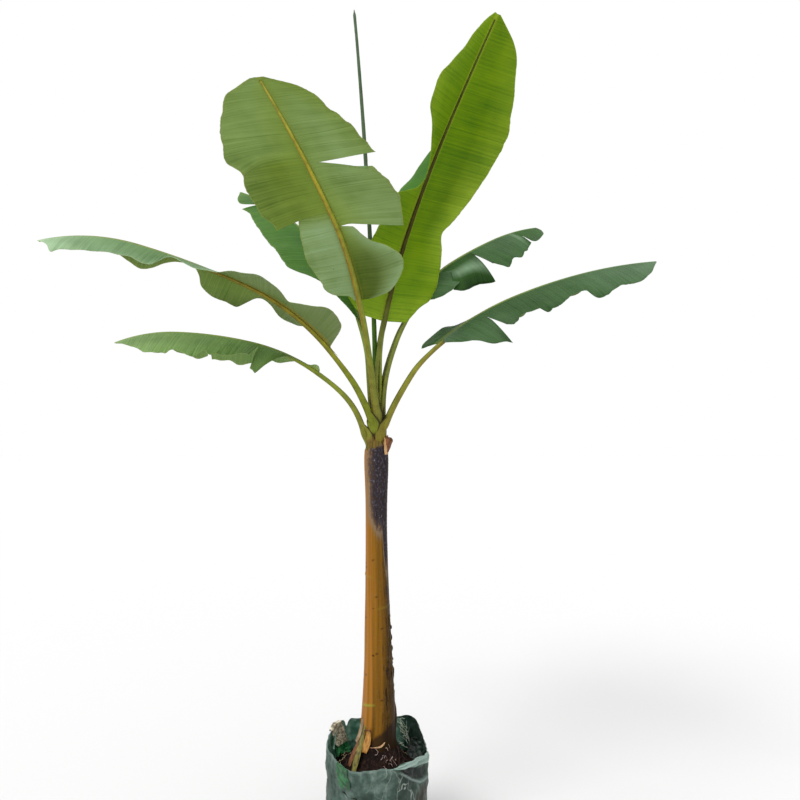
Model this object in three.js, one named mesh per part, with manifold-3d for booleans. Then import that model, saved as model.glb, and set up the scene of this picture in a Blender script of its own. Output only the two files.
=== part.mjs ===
// A young banana plant in a nursery grow bag, in millimetres, +Z up.
// The origin is at the middle of the bag's flat underside. Bearings turn from +X towards +Y.
// Each leaf is one petiole and one thin blade with its midrib ridge below, worked out from a few named sizes.

import * as THREE from 'three';
import { mergeVertices } from 'three/addons/utils/BufferGeometryUtils.js';
import Module from 'manifold-3d';

const wasm = await Module();
wasm.setup();

// ---- driving dimensions -------------------------------------------------------------------------

const GAP = 0.3;                  // clearance between pieces that touch

const BAG = { radius: 184, height: 396, wall: 3, footRadius: 168, cornerHeight: 26, sides: 32 };
const BAG_FOLDS = [{ count: 3, depth: 3 }, { count: 7, depth: 2.2 }];  // soft upright folds at the rim

// Mound of soil: its edge at the film, its shoulder and its crown round the stem
const SOIL = {
  edgeHeight: 296, shoulderHeight: 328, shoulderRadius: 132, crownHeight: 344, crownRadius: 92,
};

// Pseudostem: height, radius and sideways offset of its axis, from the buried foot to the heart of the crown
const STEM_SECTIONS = [
  { height: 310, radius: 80, offset: 0 },
  { height: 345, radius: 77, offset: 1 },
  { height: 392, radius: 73, offset: 3 },
  { height: 450, radius: 65, offset: 7 },
  { height: 550, radius: 60, offset: 9 },
  { height: 800, radius: 50, offset: 6 },
  { height: 1150, radius: 40, offset: 0 },
  { height: 1300, radius: 39.5, offset: 0 },
  { height: 1440, radius: 44, offset: 0 },
  { height: 1500, radius: 41, offset: 0 },
  { height: 1560, radius: 34, offset: 1 },
  { height: 1615, radius: 27, offset: 2 },
  { height: 1650, radius: 21, offset: 2 },
];
const STEM_SIDES = 20;
const STEM_OUT_OF_ROUND = 0.025;  // share of the radius, because the outer sheath laps round

// Stub of an older leaf that was cut off at the shoulder of the stem
const STUB = {
  bearing: 340, footDistance: 32, footHeight: 1452, length: 80, rise: 72,
  radius: 15, tipRadius: 12, sides: 10,
};

// Rolled young leaf that stands in the heart of the crown
const SPEAR = {
  foot: [-2, 6, 1640], height: 3130, footRadius: 9.5, tipRadius: 4, lean: [-75, -10], bend: 1.6, sides: 8,
};

// A petiole's half breadth and half thickness at its foot and at the neck, where the blade begins
const PETIOLE = {
  footBreadth: 15, footThickness: 12, neckBreadth: 9, neckThickness: 8, channel: 0.75, taper: 0.6, sides: 10,
};

const BLADE = { thickness: 1.8, ribHalfWidth: 8, ribDepth: 12, ribTipDepth: 2, veinSlant: 6, tipReach: 12 };
const BLADE_STATIONS = 15;        // sections along a blade, besides those at its tears
const STATION_SPACE = 0.012;      // share of the blade kept free of other sections beside a tear's
const HALF_SECTION = [1, 0.55];   // shares of the reach that have a point, besides the one beside the midrib

// Where along a blade its half widths (reach) and its hang (droop) are given, from neck 0 to tip 1
const REACH_AT = [0.03, 0.15, 0.3, 0.45, 0.6, 0.75, 0.88, 0.96];
const DROOP_AT = [0, 1 / 3, 2 / 3, 1];
const USUAL_OUTLINE = [0.45, 0.85, 1, 1, 0.97, 0.85, 0.6, 0.35];  // shares of the widest half width
const BLADE_RISE_AT = [0.35, 0.7];                                // of the blade, between neck and tip
const REACH_OF_CURL = 180;        // half width over which a half bends by its curl

// Leaves. Lengths in mm, angles in degrees.
//   bearing, sweep: way the leaf points, and how far the blade turns on from neck to tip
//   foot: distance from the stem's axis, bearing and height where the petiole leaves the stem
//   rise: slope at the foot, mid petiole, neck, blade at 35% and 70%, and tip
//   left, right: halves as seen from the stem with the upper side up. reach is a list at REACH_AT, or the
//   widest half width of the usual outline; droop hangs the half below level; curl bends it further to its
//   margin; a tear is [place along the blade, share of the half width left, opening]
const LEAVES = {
  front_left: {
    bearing: 244, sweep: 17, foot: [18, 229, 1640], petiole: 400, blade: 950,
    rise: [84, 73, 61, 25, 8, -5], tone: '#7c9a4c',
    left: { reach: [150, 170, 220, 220, 200, 160, 110, 60], droop: [-5, -5, 0, 5], curl: 5,
      tears: [[0.32, 0.3, 14], [0.6, 0.2, 10]] },
    right: { reach: [75, 130, 120, 195, 195, 180, 125, 70], droop: [20, 15, 0, 5], curl: 10,
      tears: [[0.37, 0.5, 12]] },
  },
  front_right: {
    bearing: -50, sweep: -3, foot: [12, 309, 1640], petiole: 325, blade: 1010,
    rise: [98, 86, 72, 61, 53, 50], tone: '#7fa61c',
    left: { reach: [125, 180, 140, 165, 195, 185, 135, 60], droop: [10, 25, 25, 20], curl: 10, tears: [] },
    right: { reach: [135, 150, 130, 125, 105, 145, 140, 95], droop: [-25, -8, 15, 0], curl: 10,
      tears: [[0.5, 0.15, 24]] },
  },
  back_left: {
    bearing: 144, sweep: -6, foot: [18, 139, 1630], petiole: 360, blade: 970,
    rise: [84, 85, 70, 47, 35, 25], tone: '#3f7d3c',
    left: { reach: [60, 120, 190, 205, 175, 135, 85, 35], droop: [0, 10, 20, 20], curl: 15,
      tears: [[0.93, 0.4, 10]] },
    right: { reach: 150, droop: [25, 25, 20, 15], curl: 10, tears: [] },
  },
  left_upper: {
    bearing: 194, sweep: -10, foot: [26, 200, 1566], petiole: 320, blade: 1120,
    rise: [76, 64, 49, 23, 15, -14], tone: '#6f9a6a',
    left: { reach: [100, 130, 130, 140, 130, 130, 150, 75], droop: [-45, -5, 38, 30], curl: 12,
      tears: [[0.42, 0.4, 14]] },
    right: { reach: [80, 130, 130, 150, 105, 140, 110, 60], droop: [-10, 25, 15, 15], curl: 10,
      tears: [[0.24, 0.5, 14], [0.56, 0.5, 12]] },
  },
  left_lower: {
    bearing: 181, sweep: -1, foot: [38, 180, 1510], petiole: 330, blade: 795,
    rise: [84, 54, 35, 13, 2, -21], tone: '#5f9148',
    left: { reach: [30, 40, 150, 140, 150, 155, 95, 35], droop: [15, 30, 32, 28], curl: 15,
      tears: [[0.34, 0.5, 12]] },
    right: { reach: 140, droop: [15, 35, 38, 30], curl: 15, tears: [[0.55, 0.5, 12]] },
  },
  right_back: {
    bearing: 29, sweep: -10, foot: [25, 25, 1585], petiole: 500, blade: 735,
    rise: [94, 70, 59, 33, 23, 4], tone: '#3c6b4c',
    left: { reach: 150, droop: [15, 35, 38, 30], curl: 15, tears: [[0.45, 0.4, 12]] },
    right: { reach: [110, 140, 230, 200, 165, 140, 85, 35], droop: [10, 32, 34, 30], curl: 15,
      tears: [[0.3, 0.5, 14], [0.6, 0.25, 12], [0.92, 0.3, 8]] },
  },
  right_lower: {
    bearing: 3, sweep: 0, foot: [32, 0, 1545], petiole: 425, blade: 890,
    rise: [74, 60, 40, 23, 14, 5], tone: '#416f4c',
    left: { reach: 150, droop: [-20, 30, 38, 30], curl: 15, tears: [[0.6, 0.5, 12]] },
    right: { reach: [170, 225, 180, 180, 145, 155, 130, 55], droop: [12, 34, 32, 28], curl: 15,
      tears: [[0.25, 0.45, 14]] },
  },
  back_right: {
    bearing: 57, sweep: -15, foot: [17, 54, 1625], petiole: 365, blade: 960,
    rise: [93, 88, 69, 60, 62, 60], tone: '#4f8f45',
    left: { reach: 175, droop: [-20, -10, 0, 0], curl: 10, tears: [] },
    right: { reach: 150, droop: [-35, -35, -30, -25], curl: 10, tears: [] },
  },
};

// ---- small helpers ------------------------------------------------------------------------------

const radians = THREE.MathUtils.degToRad;

/** Value at x of the broken line through the points (places, values). */
function between(places, values, x) {
  if (x <= places[0]) return values[0];
  for (let i = 1; i < places.length; i += 1) {
    if (x <= places[i]) {
      const share = (x - places[i - 1]) / (places[i] - places[i - 1]);
      return THREE.MathUtils.lerp(values[i - 1], values[i], share);
    }
  }
  return values[values.length - 1];
}

/** Unit vector that points along a bearing and slope. */
function heading(bearing, rise) {
  const [a, e] = [radians(bearing), radians(rise)];
  return new THREE.Vector3(Math.cos(e) * Math.cos(a), Math.cos(e) * Math.sin(a), Math.sin(e));
}

/**
 * Closed body through rings of equal count. capOf lists the triangles that close a ring, by index. From the
 * point numbered turnedFrom the quads are split along their other diagonal: on a flat ring the far side then
 * has its folds under those of the near side, and a thin twisted sheet keeps its thickness.
 */
function loft(rings, capOf, turnedFrom = Infinity) {
  const count = rings[0].length;
  const points = rings.flat().flatMap((p) => [p.x, p.y, p.z]);
  const faces = [];
  for (let r = 0; r + 1 < rings.length; r += 1) {
    for (let i = 0; i < count; i += 1) {
      const j = (i + 1) % count;
      const [a, b, c, d] = [r * count + i, r * count + j, (r + 1) * count + j, (r + 1) * count + i];
      if (i < turnedFrom) faces.push(a, b, c, a, c, d);
      else faces.push(a, b, d, b, c, d);
    }
  }
  const last = (rings.length - 1) * count;
  for (const [a, b, c] of capOf(count)) faces.push(a, c, b, last + a, last + b, last + c);
  const geometry = new THREE.BufferGeometry();
  geometry.setAttribute('position', new THREE.Float32BufferAttribute(points, 3));
  geometry.setIndex(faces);
  return facingOut(geometry);
}

/** Cap of a round ring: a fan. */
function fanCap(count) {
  return Array.from({ length: count - 2 }, (_, i) => [0, i + 1, i + 2]);
}

/** Cap of a flat ring whose second half runs back under its first half: a ladder. */
function ladderCap(count) {
  const triangles = [];
  for (let i = 0; i + 1 < count / 2; i += 1) {
    const [a, b, c, d] = [i, i + 1, count - 2 - i, count - 1 - i];
    triangles.push([a, b, c], [a, c, d]);
  }
  return triangles;
}

/** The same geometry with its triangles turned so that they enclose a positive volume. */
function facingOut(geometry) {
  const index = geometry.getIndex().array;
  const position = geometry.getAttribute('position');
  const corner = (k) => new THREE.Vector3().fromBufferAttribute(position, index[k]);
  let volume = 0;
  for (let k = 0; k < index.length; k += 3) volume += corner(k).dot(corner(k + 1).cross(corner(k + 2)));
  if (volume < 0) {
    const turned = [];
    for (let k = 0; k < index.length; k += 3) turned.push(index[k], index[k + 2], index[k + 1]);
    geometry.setIndex(turned);
  }
  return geometry;
}

function toManifold(geometry) {
  const bare = geometry.clone();
  bare.deleteAttribute('normal');
  bare.deleteAttribute('uv');
  const merged = mergeVertices(bare, 1e-3);
  return new wasm.Manifold(new wasm.Mesh({
    numProp: 3,
    vertProperties: new Float32Array(merged.getAttribute('position').array),
    triVerts: new Uint32Array(merged.getIndex().array),
  }));
}

function fromManifold(solid) {
  const { vertProperties, triVerts } = solid.getMesh();
  const geometry = new THREE.BufferGeometry();
  geometry.setAttribute('position', new THREE.BufferAttribute(new Float32Array(vertProperties), 3));
  geometry.setIndex(new THREE.BufferAttribute(new Uint32Array(triVerts), 1));
  return geometry;
}

/** The largest single piece of a solid with others cut away from it. */
function cutBy(geometry, cutters) {
  const solid = cutters.reduce((kept, cutter) => kept.subtract(cutter), toManifold(geometry));
  const pieces = solid.decompose();
  return fromManifold(pieces.reduce((a, b) => (a.volume() >= b.volume() ? a : b)));
}

// ---- grow bag and soil --------------------------------------------------------------------------

/** Crumpling of the bag's wall: none at the flat foot, soft upright folds above it. */
function bagRadius(radius, height, angle) {
  const share = THREE.MathUtils.smoothstep(height, 0, BAG.height);
  const [broad, fine] = BAG_FOLDS;
  const folds = broad.depth * Math.sin(broad.count * angle + 0.6)
    + fine.depth * Math.sin(fine.count * angle + 4 * share);
  return radius + share * folds;
}

/** Rim height round the bag: a low front, with soft dips and rises. */
function rimHeight(angle) {
  return BAG.height + 9 * Math.sin(angle + 0.3) + 5 * Math.sin(3 * angle);
}

function bagRing(radius, height, rimShare) {
  return Array.from({ length: BAG.sides }, (_, i) => {
    const angle = (2 * Math.PI * i) / BAG.sides;
    const z = height + rimShare * (rimHeight(angle) - BAG.height);
    const r = bagRadius(radius, height, angle);
    return new THREE.Vector3(r * Math.cos(angle), r * Math.sin(angle), z);
  });
}

/** Open bag of thin film with a flat underside; grow thickens it inwards. */
function growBag(grow = 0) {
  const { radius, height, footRadius, cornerHeight } = BAG;
  const wall = BAG.wall + grow;
  return loft([
    bagRing(footRadius, 0, 0),
    bagRing(radius - 3, cornerHeight, 0),
    bagRing(radius, height * 0.5, 0),
    bagRing(radius, height, 1),
    bagRing(radius - wall, height, 1),
    bagRing(radius - wall, height * 0.5, 0),
    bagRing(radius - 3 - wall, cornerHeight, 0),
    bagRing(footRadius - wall, wall, 0),
  ], fanCap);
}

/** Mound of potting soil that fills the bag and rises towards the stem. */
function soil(stemCutter) {
  const { wall, radius, footRadius, cornerHeight, height } = BAG;
  const half = wall / 2;
  const mound = loft([
    bagRing(footRadius - half, half, 0),
    bagRing(radius - 3 - half, cornerHeight, 0),
    bagRing(radius - half, height * 0.5, 0),
    bagRing(radius - half, SOIL.edgeHeight, 0),
    bagRing(SOIL.shoulderRadius, SOIL.shoulderHeight, 0),
    bagRing(SOIL.crownRadius, SOIL.crownHeight, 0),
  ], fanCap);
  return cutBy(mound, [stemCutter, toManifold(growBag(GAP))]);
}

// ---- pseudostem, stub and spear -----------------------------------------------------------------

/** Ring of the stem, with its broad way turning slowly with height. */
function stemRing(section, grow) {
  return Array.from({ length: STEM_SIDES }, (_, i) => {
    const angle = (2 * Math.PI * i) / STEM_SIDES;
    const oval = 1 + STEM_OUT_OF_ROUND * Math.cos(2 * angle + section.height / 300);
    const radius = section.radius * oval + grow;
    return new THREE.Vector3(
      section.offset + radius * Math.cos(angle),
      radius * Math.sin(angle),
      section.height,
    );
  });
}

function pseudostem(grow = 0) {
  const sections = STEM_SECTIONS.map((s) => ({ ...s }));
  sections[0].height -= grow;
  sections[sections.length - 1].height += grow;
  return loft(sections.map((s) => stemRing(s, grow)), fanCap);
}

/** Round tapering limb along points, with a radius for each. */
function roundLimb(points, radii, sides) {
  const rings = points.map((point, i) => {
    const ahead = points[Math.min(i + 1, points.length - 1)].clone();
    const along = ahead.sub(points[Math.max(i - 1, 0)]).normalize();
    const side = new THREE.Vector3(0, 1, 0).cross(along).normalize();
    const up = along.clone().cross(side);
    return Array.from({ length: sides }, (_, k) => {
      const angle = (2 * Math.PI * k) / sides;
      return point.clone()
        .addScaledVector(side, radii[i] * Math.cos(angle))
        .addScaledVector(up, radii[i] * Math.sin(angle));
    });
  });
  return loft(rings, fanCap);
}

function cutStub() {
  const foot = heading(STUB.bearing, 0).multiplyScalar(STUB.footDistance).setZ(STUB.footHeight);
  const tip = foot.clone().addScaledVector(heading(STUB.bearing, STUB.rise), STUB.length);
  const radii = [STUB.radius, STUB.radius, STUB.tipRadius];
  return roundLimb([foot, foot.clone().lerp(tip, 0.5), tip], radii, STUB.sides);
}

function spear(grow = 0) {
  const steps = 10;
  const shares = Array.from({ length: steps + 1 }, (_, i) => i / steps);
  const points = shares.map((share) => new THREE.Vector3(
    SPEAR.foot[0] + SPEAR.lean[0] * share ** SPEAR.bend,
    SPEAR.foot[1] + SPEAR.lean[1] * share ** SPEAR.bend,
    THREE.MathUtils.lerp(SPEAR.foot[2], SPEAR.height, share),
  ));
  const radii = shares.map((share) => THREE.MathUtils.lerp(SPEAR.footRadius, SPEAR.tipRadius, share) + grow);
  return roundLimb(points, radii, SPEAR.sides);
}

// ---- petioles and blades ------------------------------------------------------------------------

/** Frame of a leaf's midline at a distance from its foot: point, along, left and up. */
function midline(leaf) {
  const length = leaf.petiole + leaf.blade;
  const neck = leaf.petiole / length;
  const riseAt = [0, neck / 2, neck, ...BLADE_RISE_AT.map((share) => neck + (1 - neck) * share), 1];
  const steps = 160;
  const [distance, footBearing, footHeight] = leaf.foot;
  const point = heading(footBearing, 0).multiplyScalar(distance).setZ(footHeight);
  const frames = [];
  for (let i = 0; i <= steps; i += 1) {
    const share = i / steps;
    const bearing = leaf.bearing + leaf.sweep * Math.max(0, (share - neck) / (1 - neck));
    const along = heading(bearing, between(riseAt, leaf.rise, share));
    const left = new THREE.Vector3(-Math.sin(radians(bearing)), Math.cos(radians(bearing)), 0);
    if (i > 0) point.addScaledVector(along.clone().add(frames[i - 1].along), length / steps / 2);
    frames.push({ point: point.clone(), along, left, up: along.clone().cross(left) });
  }
  return (distanceAlong) => {
    const place = THREE.MathUtils.clamp((distanceAlong / length) * steps, 0, steps - 1e-6);
    const [low, share] = [Math.floor(place), place % 1];
    const mix = (key) => frames[low][key].clone().lerp(frames[low + 1][key], share);
    return { point: mix('point'), along: mix('along'), left: mix('left'), up: mix('up') };
  };
}

/** Petiole: an oval limb with a shallow channel along its upper side. */
function petiole(leaf, grow = 0) {
  const at = midline(leaf);
  const steps = 13;
  const drop = BLADE.ribDepth * 0.6;        // the petiole runs on into the ridge under the blade
  const rings = Array.from({ length: steps + 1 }, (_, i) => {
    const share = i / steps;
    const { point, along, left, up } = at(share * (leaf.petiole - GAP));
    const end = i === steps ? grow : 0;
    const tapered = (foot, neck) => THREE.MathUtils.lerp(foot, neck, share ** PETIOLE.taper) + grow;
    const breadth = tapered(PETIOLE.footBreadth, PETIOLE.neckBreadth);
    const thickness = tapered(PETIOLE.footThickness, PETIOLE.neckThickness);
    return Array.from({ length: PETIOLE.sides }, (_, k) => {
      const angle = (2 * Math.PI * (k + 0.5)) / PETIOLE.sides;
      const channel = Math.sin(angle) > 0.9 ? PETIOLE.channel : 1;
      return point.clone()
        .addScaledVector(left, breadth * Math.cos(angle))
        .addScaledVector(up, thickness * Math.sin(angle) * channel - drop * share)
        .addScaledVector(along, end);
    });
  });
  return loft(rings, fanCap);
}

/** Half width of one half of a blade at a share of its length, with its tears cut in. */
function reachAt(leaf, half, share) {
  const list = typeof half.reach === 'number' ? USUAL_OUTLINE.map((part) => part * half.reach) : half.reach;
  const whole = between([0, ...REACH_AT, 1], [list[0] * 0.4, ...list, BLADE.tipReach], share);
  return half.tears.reduce((width, [place, kept, opening]) => {
    const away = Math.abs(share - place) * leaf.blade;
    return width * between([0, opening], [kept, 1], away);
  }, whole);
}

/** Point of a half, and its upward normal, at a distance out from the midline. */
function outFrom(frame, half, side, droop, out) {
  const slant = radians(BLADE.veinSlant);
  const point = frame.point.clone();
  const steps = 6;
  let across = frame.left;
  for (let i = 0; i < steps; i += 1) {
    const travelled = ((i + 0.5) / steps) * out;
    const hang = radians(droop + (half.curl * travelled) / REACH_OF_CURL);
    across = frame.left.clone().multiplyScalar(side * Math.cos(hang));
    across.addScaledVector(frame.up, -Math.sin(hang));
    point.addScaledVector(across, (Math.cos(slant) * out) / steps);
    point.addScaledVector(frame.along, (Math.sin(slant) * out) / steps);
  }
  const normal = frame.along.clone().cross(across).multiplyScalar(side).normalize();
  return { point, normal };
}

/** Blade: a thin closed sheet of the leaf's outline, with the midrib as a ridge below it. */
function blade(leaf) {
  const at = midline(leaf);
  const even = Array.from({ length: BLADE_STATIONS }, (_, i) => i / (BLADE_STATIONS - 1));
  const atTears = [...leaf.left.tears, ...leaf.right.tears].flatMap(([place, , opening]) => {
    const edge = opening / leaf.blade;
    return [place - edge, place, place + edge];
  });
  const clear = even.filter((share) => atTears.every((place) => Math.abs(place - share) > STATION_SPACE));
  const stations = [...clear, ...atTears].sort((a, b) => a - b);
  const rings = stations.map((share) => {
    const frame = at(leaf.petiole + share * leaf.blade);
    const ribDepth = THREE.MathUtils.lerp(BLADE.ribDepth, BLADE.ribTipDepth, share);
    const halfSection = (half, side) => {
      const reach = reachAt(leaf, half, share);
      const droop = between(DROOP_AT, half.droop, share);
      return [...HALF_SECTION.map((part) => part * reach), Math.min(BLADE.ribHalfWidth, reach * 0.3)]
        .map((out) => outFrom(frame, half, side, droop, out));
    };
    const middle = { point: frame.point, normal: frame.up };
    const section = [...halfSection(leaf.left, 1), middle, ...halfSection(leaf.right, -1).reverse()];
    const half = BLADE.thickness / 2;
    const top = section.map(({ point, normal }) => point.clone().addScaledVector(normal, half));
    const bottom = section.map(({ point, normal }) => {
      const depth = half + (point.equals(frame.point) ? ribDepth : 0);
      return point.clone().addScaledVector(normal, -depth);
    });
    return [...top, ...bottom.reverse()];
  });
  return loft(rings, ladderCap, rings[0].length / 2);
}

// ---- assembly -----------------------------------------------------------------------------------

const plant = new THREE.Group();

function add(name, geometry, colour, roughness) {
  const material = new THREE.MeshStandardMaterial({ color: colour, roughness, metalness: 0 });
  const mesh = new THREE.Mesh(geometry, material);
  mesh.name = name;
  plant.add(mesh);
}

const stemCutter = toManifold(pseudostem(GAP));
add('grow_bag', growBag(), '#3d5650', 0.4);
add('soil', soil(stemCutter), '#34242a', 0.95);
add('pseudostem', pseudostem(), '#96692a', 0.6);

// Inner pieces first: each later one is cut back where it meets those already standing
const standing = [stemCutter];
function seat(name, geometry, grown, colour, roughness) {
  add(name, cutBy(geometry, standing), colour, roughness);
  standing.push(toManifold(grown));
}

seat('spear', spear(), spear(GAP), '#3f6a3a', 0.45);
for (const [name, leaf] of Object.entries(LEAVES)) {
  seat(`petiole_${name}`, petiole(leaf), petiole(leaf, GAP), '#8a9a3c', 0.5);
}
seat('cut_stub', cutStub(), cutStub(), '#7a4a2c', 0.8);
for (const [name, leaf] of Object.entries(LEAVES)) add(`leaf_${name}`, blade(leaf), leaf.tone, 0.5);

export default plant;
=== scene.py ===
# A young banana plant in a crumpled nursery grow bag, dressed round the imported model.
# Metres, +Z up, -Y to the front. Bearings turn from +X towards +Y, in degrees.

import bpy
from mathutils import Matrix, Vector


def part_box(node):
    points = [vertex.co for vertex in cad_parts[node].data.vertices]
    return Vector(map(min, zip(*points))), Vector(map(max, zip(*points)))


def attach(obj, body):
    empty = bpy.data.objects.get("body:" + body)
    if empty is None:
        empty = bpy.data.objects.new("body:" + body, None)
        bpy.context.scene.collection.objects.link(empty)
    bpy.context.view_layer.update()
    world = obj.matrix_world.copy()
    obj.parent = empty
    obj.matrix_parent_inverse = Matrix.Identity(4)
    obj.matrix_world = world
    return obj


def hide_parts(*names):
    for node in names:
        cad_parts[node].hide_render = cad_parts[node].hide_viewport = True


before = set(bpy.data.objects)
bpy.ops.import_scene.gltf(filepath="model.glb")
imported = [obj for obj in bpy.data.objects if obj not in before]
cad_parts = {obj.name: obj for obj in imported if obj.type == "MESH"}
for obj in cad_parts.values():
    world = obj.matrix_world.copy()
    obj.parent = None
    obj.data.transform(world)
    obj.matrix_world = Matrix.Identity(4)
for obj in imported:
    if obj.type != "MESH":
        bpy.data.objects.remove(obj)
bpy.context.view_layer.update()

import math
import random

import bmesh
import bpy
import numpy as np
from mathutils import Vector, noise

UP = Vector((0, 0, 1))

# ---- sizes --------------------------------------------------------------------------------------

BAG = dict(radius=.184, height=.396, foot_radius=.168, corner=.026, film=.0008)
# Height of the torn rim at bearings round the bag
RIM_AT = (0, 12, 24, 34, 46, 60, 107, 122, 140, 156, 172, 192, 216, 232, 250, 283, 305, 331, 350, 360)
RIM = (.374, .374, .394, .420, .424, .408, .394, .400, .402, .404, .394, .376, .370, .364, .371, .386,
       .396, .388, .376, .374)
BAG_FOLDS = ((3, .0030, .6, 0), (7, .0022, 0, 4))      # count, depth, phase, turn with height
# Heights of the mix at the wall and at the stem, then distances from the middle: where its mound begins
# to fall and how fast, its foot, and where it ends inside the stem
SOIL = dict(edge=.270, crown=.404, shoulder=.068, fall=.046, foot=.150, inner=.052)

# Pseudostem: height, radius and sideways offset of its axis
STEM_HEIGHTS = (.310, .345, .392, .450, .550, .800, 1.150, 1.300, 1.440, 1.500, 1.560, 1.615, 1.650)
STEM_RADII = (.080, .077, .073, .065, .060, .050, .040, .0395, .044, .041, .034, .027, .021)
STEM_OFFSETS = (0, .001, .003, .007, .009, .006, 0, 0, 0, 0, .001, .002, .002)

# Stub of the cut leaf: height, bearing, distance and rise of its foot, its length, and its radius at foot
# and rim. Rolled spear: its lower end inside the stem, height of its foot, its rise, how far it leans, its
# radius at foot and tip, and the degrees that its margin winds round it.
STUB = dict(foot=1.464, bearing=340, off=.031, rise=72, length=.080, radii=(.0105, .0150))
SPEAR = dict(low=1.60, foot=1.640, rise=1.490, lean=(-.081, -.010), radii=(.0105, .0055), wound=540)

PETIOLE = dict(foot=(.0175, .0155), neck=(.0108, .0102), tip=(.0024, .0018))   # half breadth and thickness
FILM = dict(blade=.0008, clasp=.0016, strip=.0012, scrap=.0007)   # thickness of sheets
COLUMN = .003                 # spacing of a blade's cross lines, on which its veins run
ROWS, RIB_ROWS = 17, 3        # rows of a half, and those of them over the midrib
VEIN_SLANT = math.radians(6)  # veins run out a little towards the tip

# Where a blade's usual half widths and its hang are given, as shares from neck to tip
REACH_AT = (.03, .15, .3, .45, .6, .75, .88, .96)
DROOP_AT = (0, 1 / 3, 2 / 3, 1)
USUAL_OUTLINE = (.45, .85, 1, 1, .97, .85, .6, .35)
TIP_REACH = .012
CURL_REACH = .180             # half width over which a half bends by its curl
# Distance along the rib over which the pushes at the base and at a tear fade, and a torn lobe's droop
BASE_FADE, PUSH_FADE, LOBE_FADE = .05, .06, .045
WAVES = (.19, .083)           # lengths of the waves of a blade's margin


def usual(reach):
    """Outline of a half whose widest place has that reach."""
    inner = [(at, reach * part) for at, part in zip(REACH_AT, USUAL_OUTLINE)]
    return [[(0, reach * .18), *inner, (1, TIP_REACH)]]


def half(lobes, droop, curl, tears=(), bends=(), bloom=((0, 0, 0, 0),), shade=((0, 0, 0, 0),), wave=1.0,
         base=(0, 0)):
    """Half of a blade.
    lobes: outline between two tears each, as (share of the length, reach)
    tears: (share, part left whole, push along before and after it, extra droop before and after it)
    bends: (share, half its width, part of the reach where it starts, degrees)
    bloom, shade: (share, at the rib, in the middle, at the margin) of wax with painted highlight, and of
    painted shade
    base: part of the base left whole, and push along of the lobe beside the petiole"""
    lobes = usual(lobes) if not isinstance(lobes, list) else lobes
    return dict(lobes=lobes, droop=droop, curl=curl, tears=tears, bends=bends, bloom=bloom,
                shade=shade, wave=wave, base=base)


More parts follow.
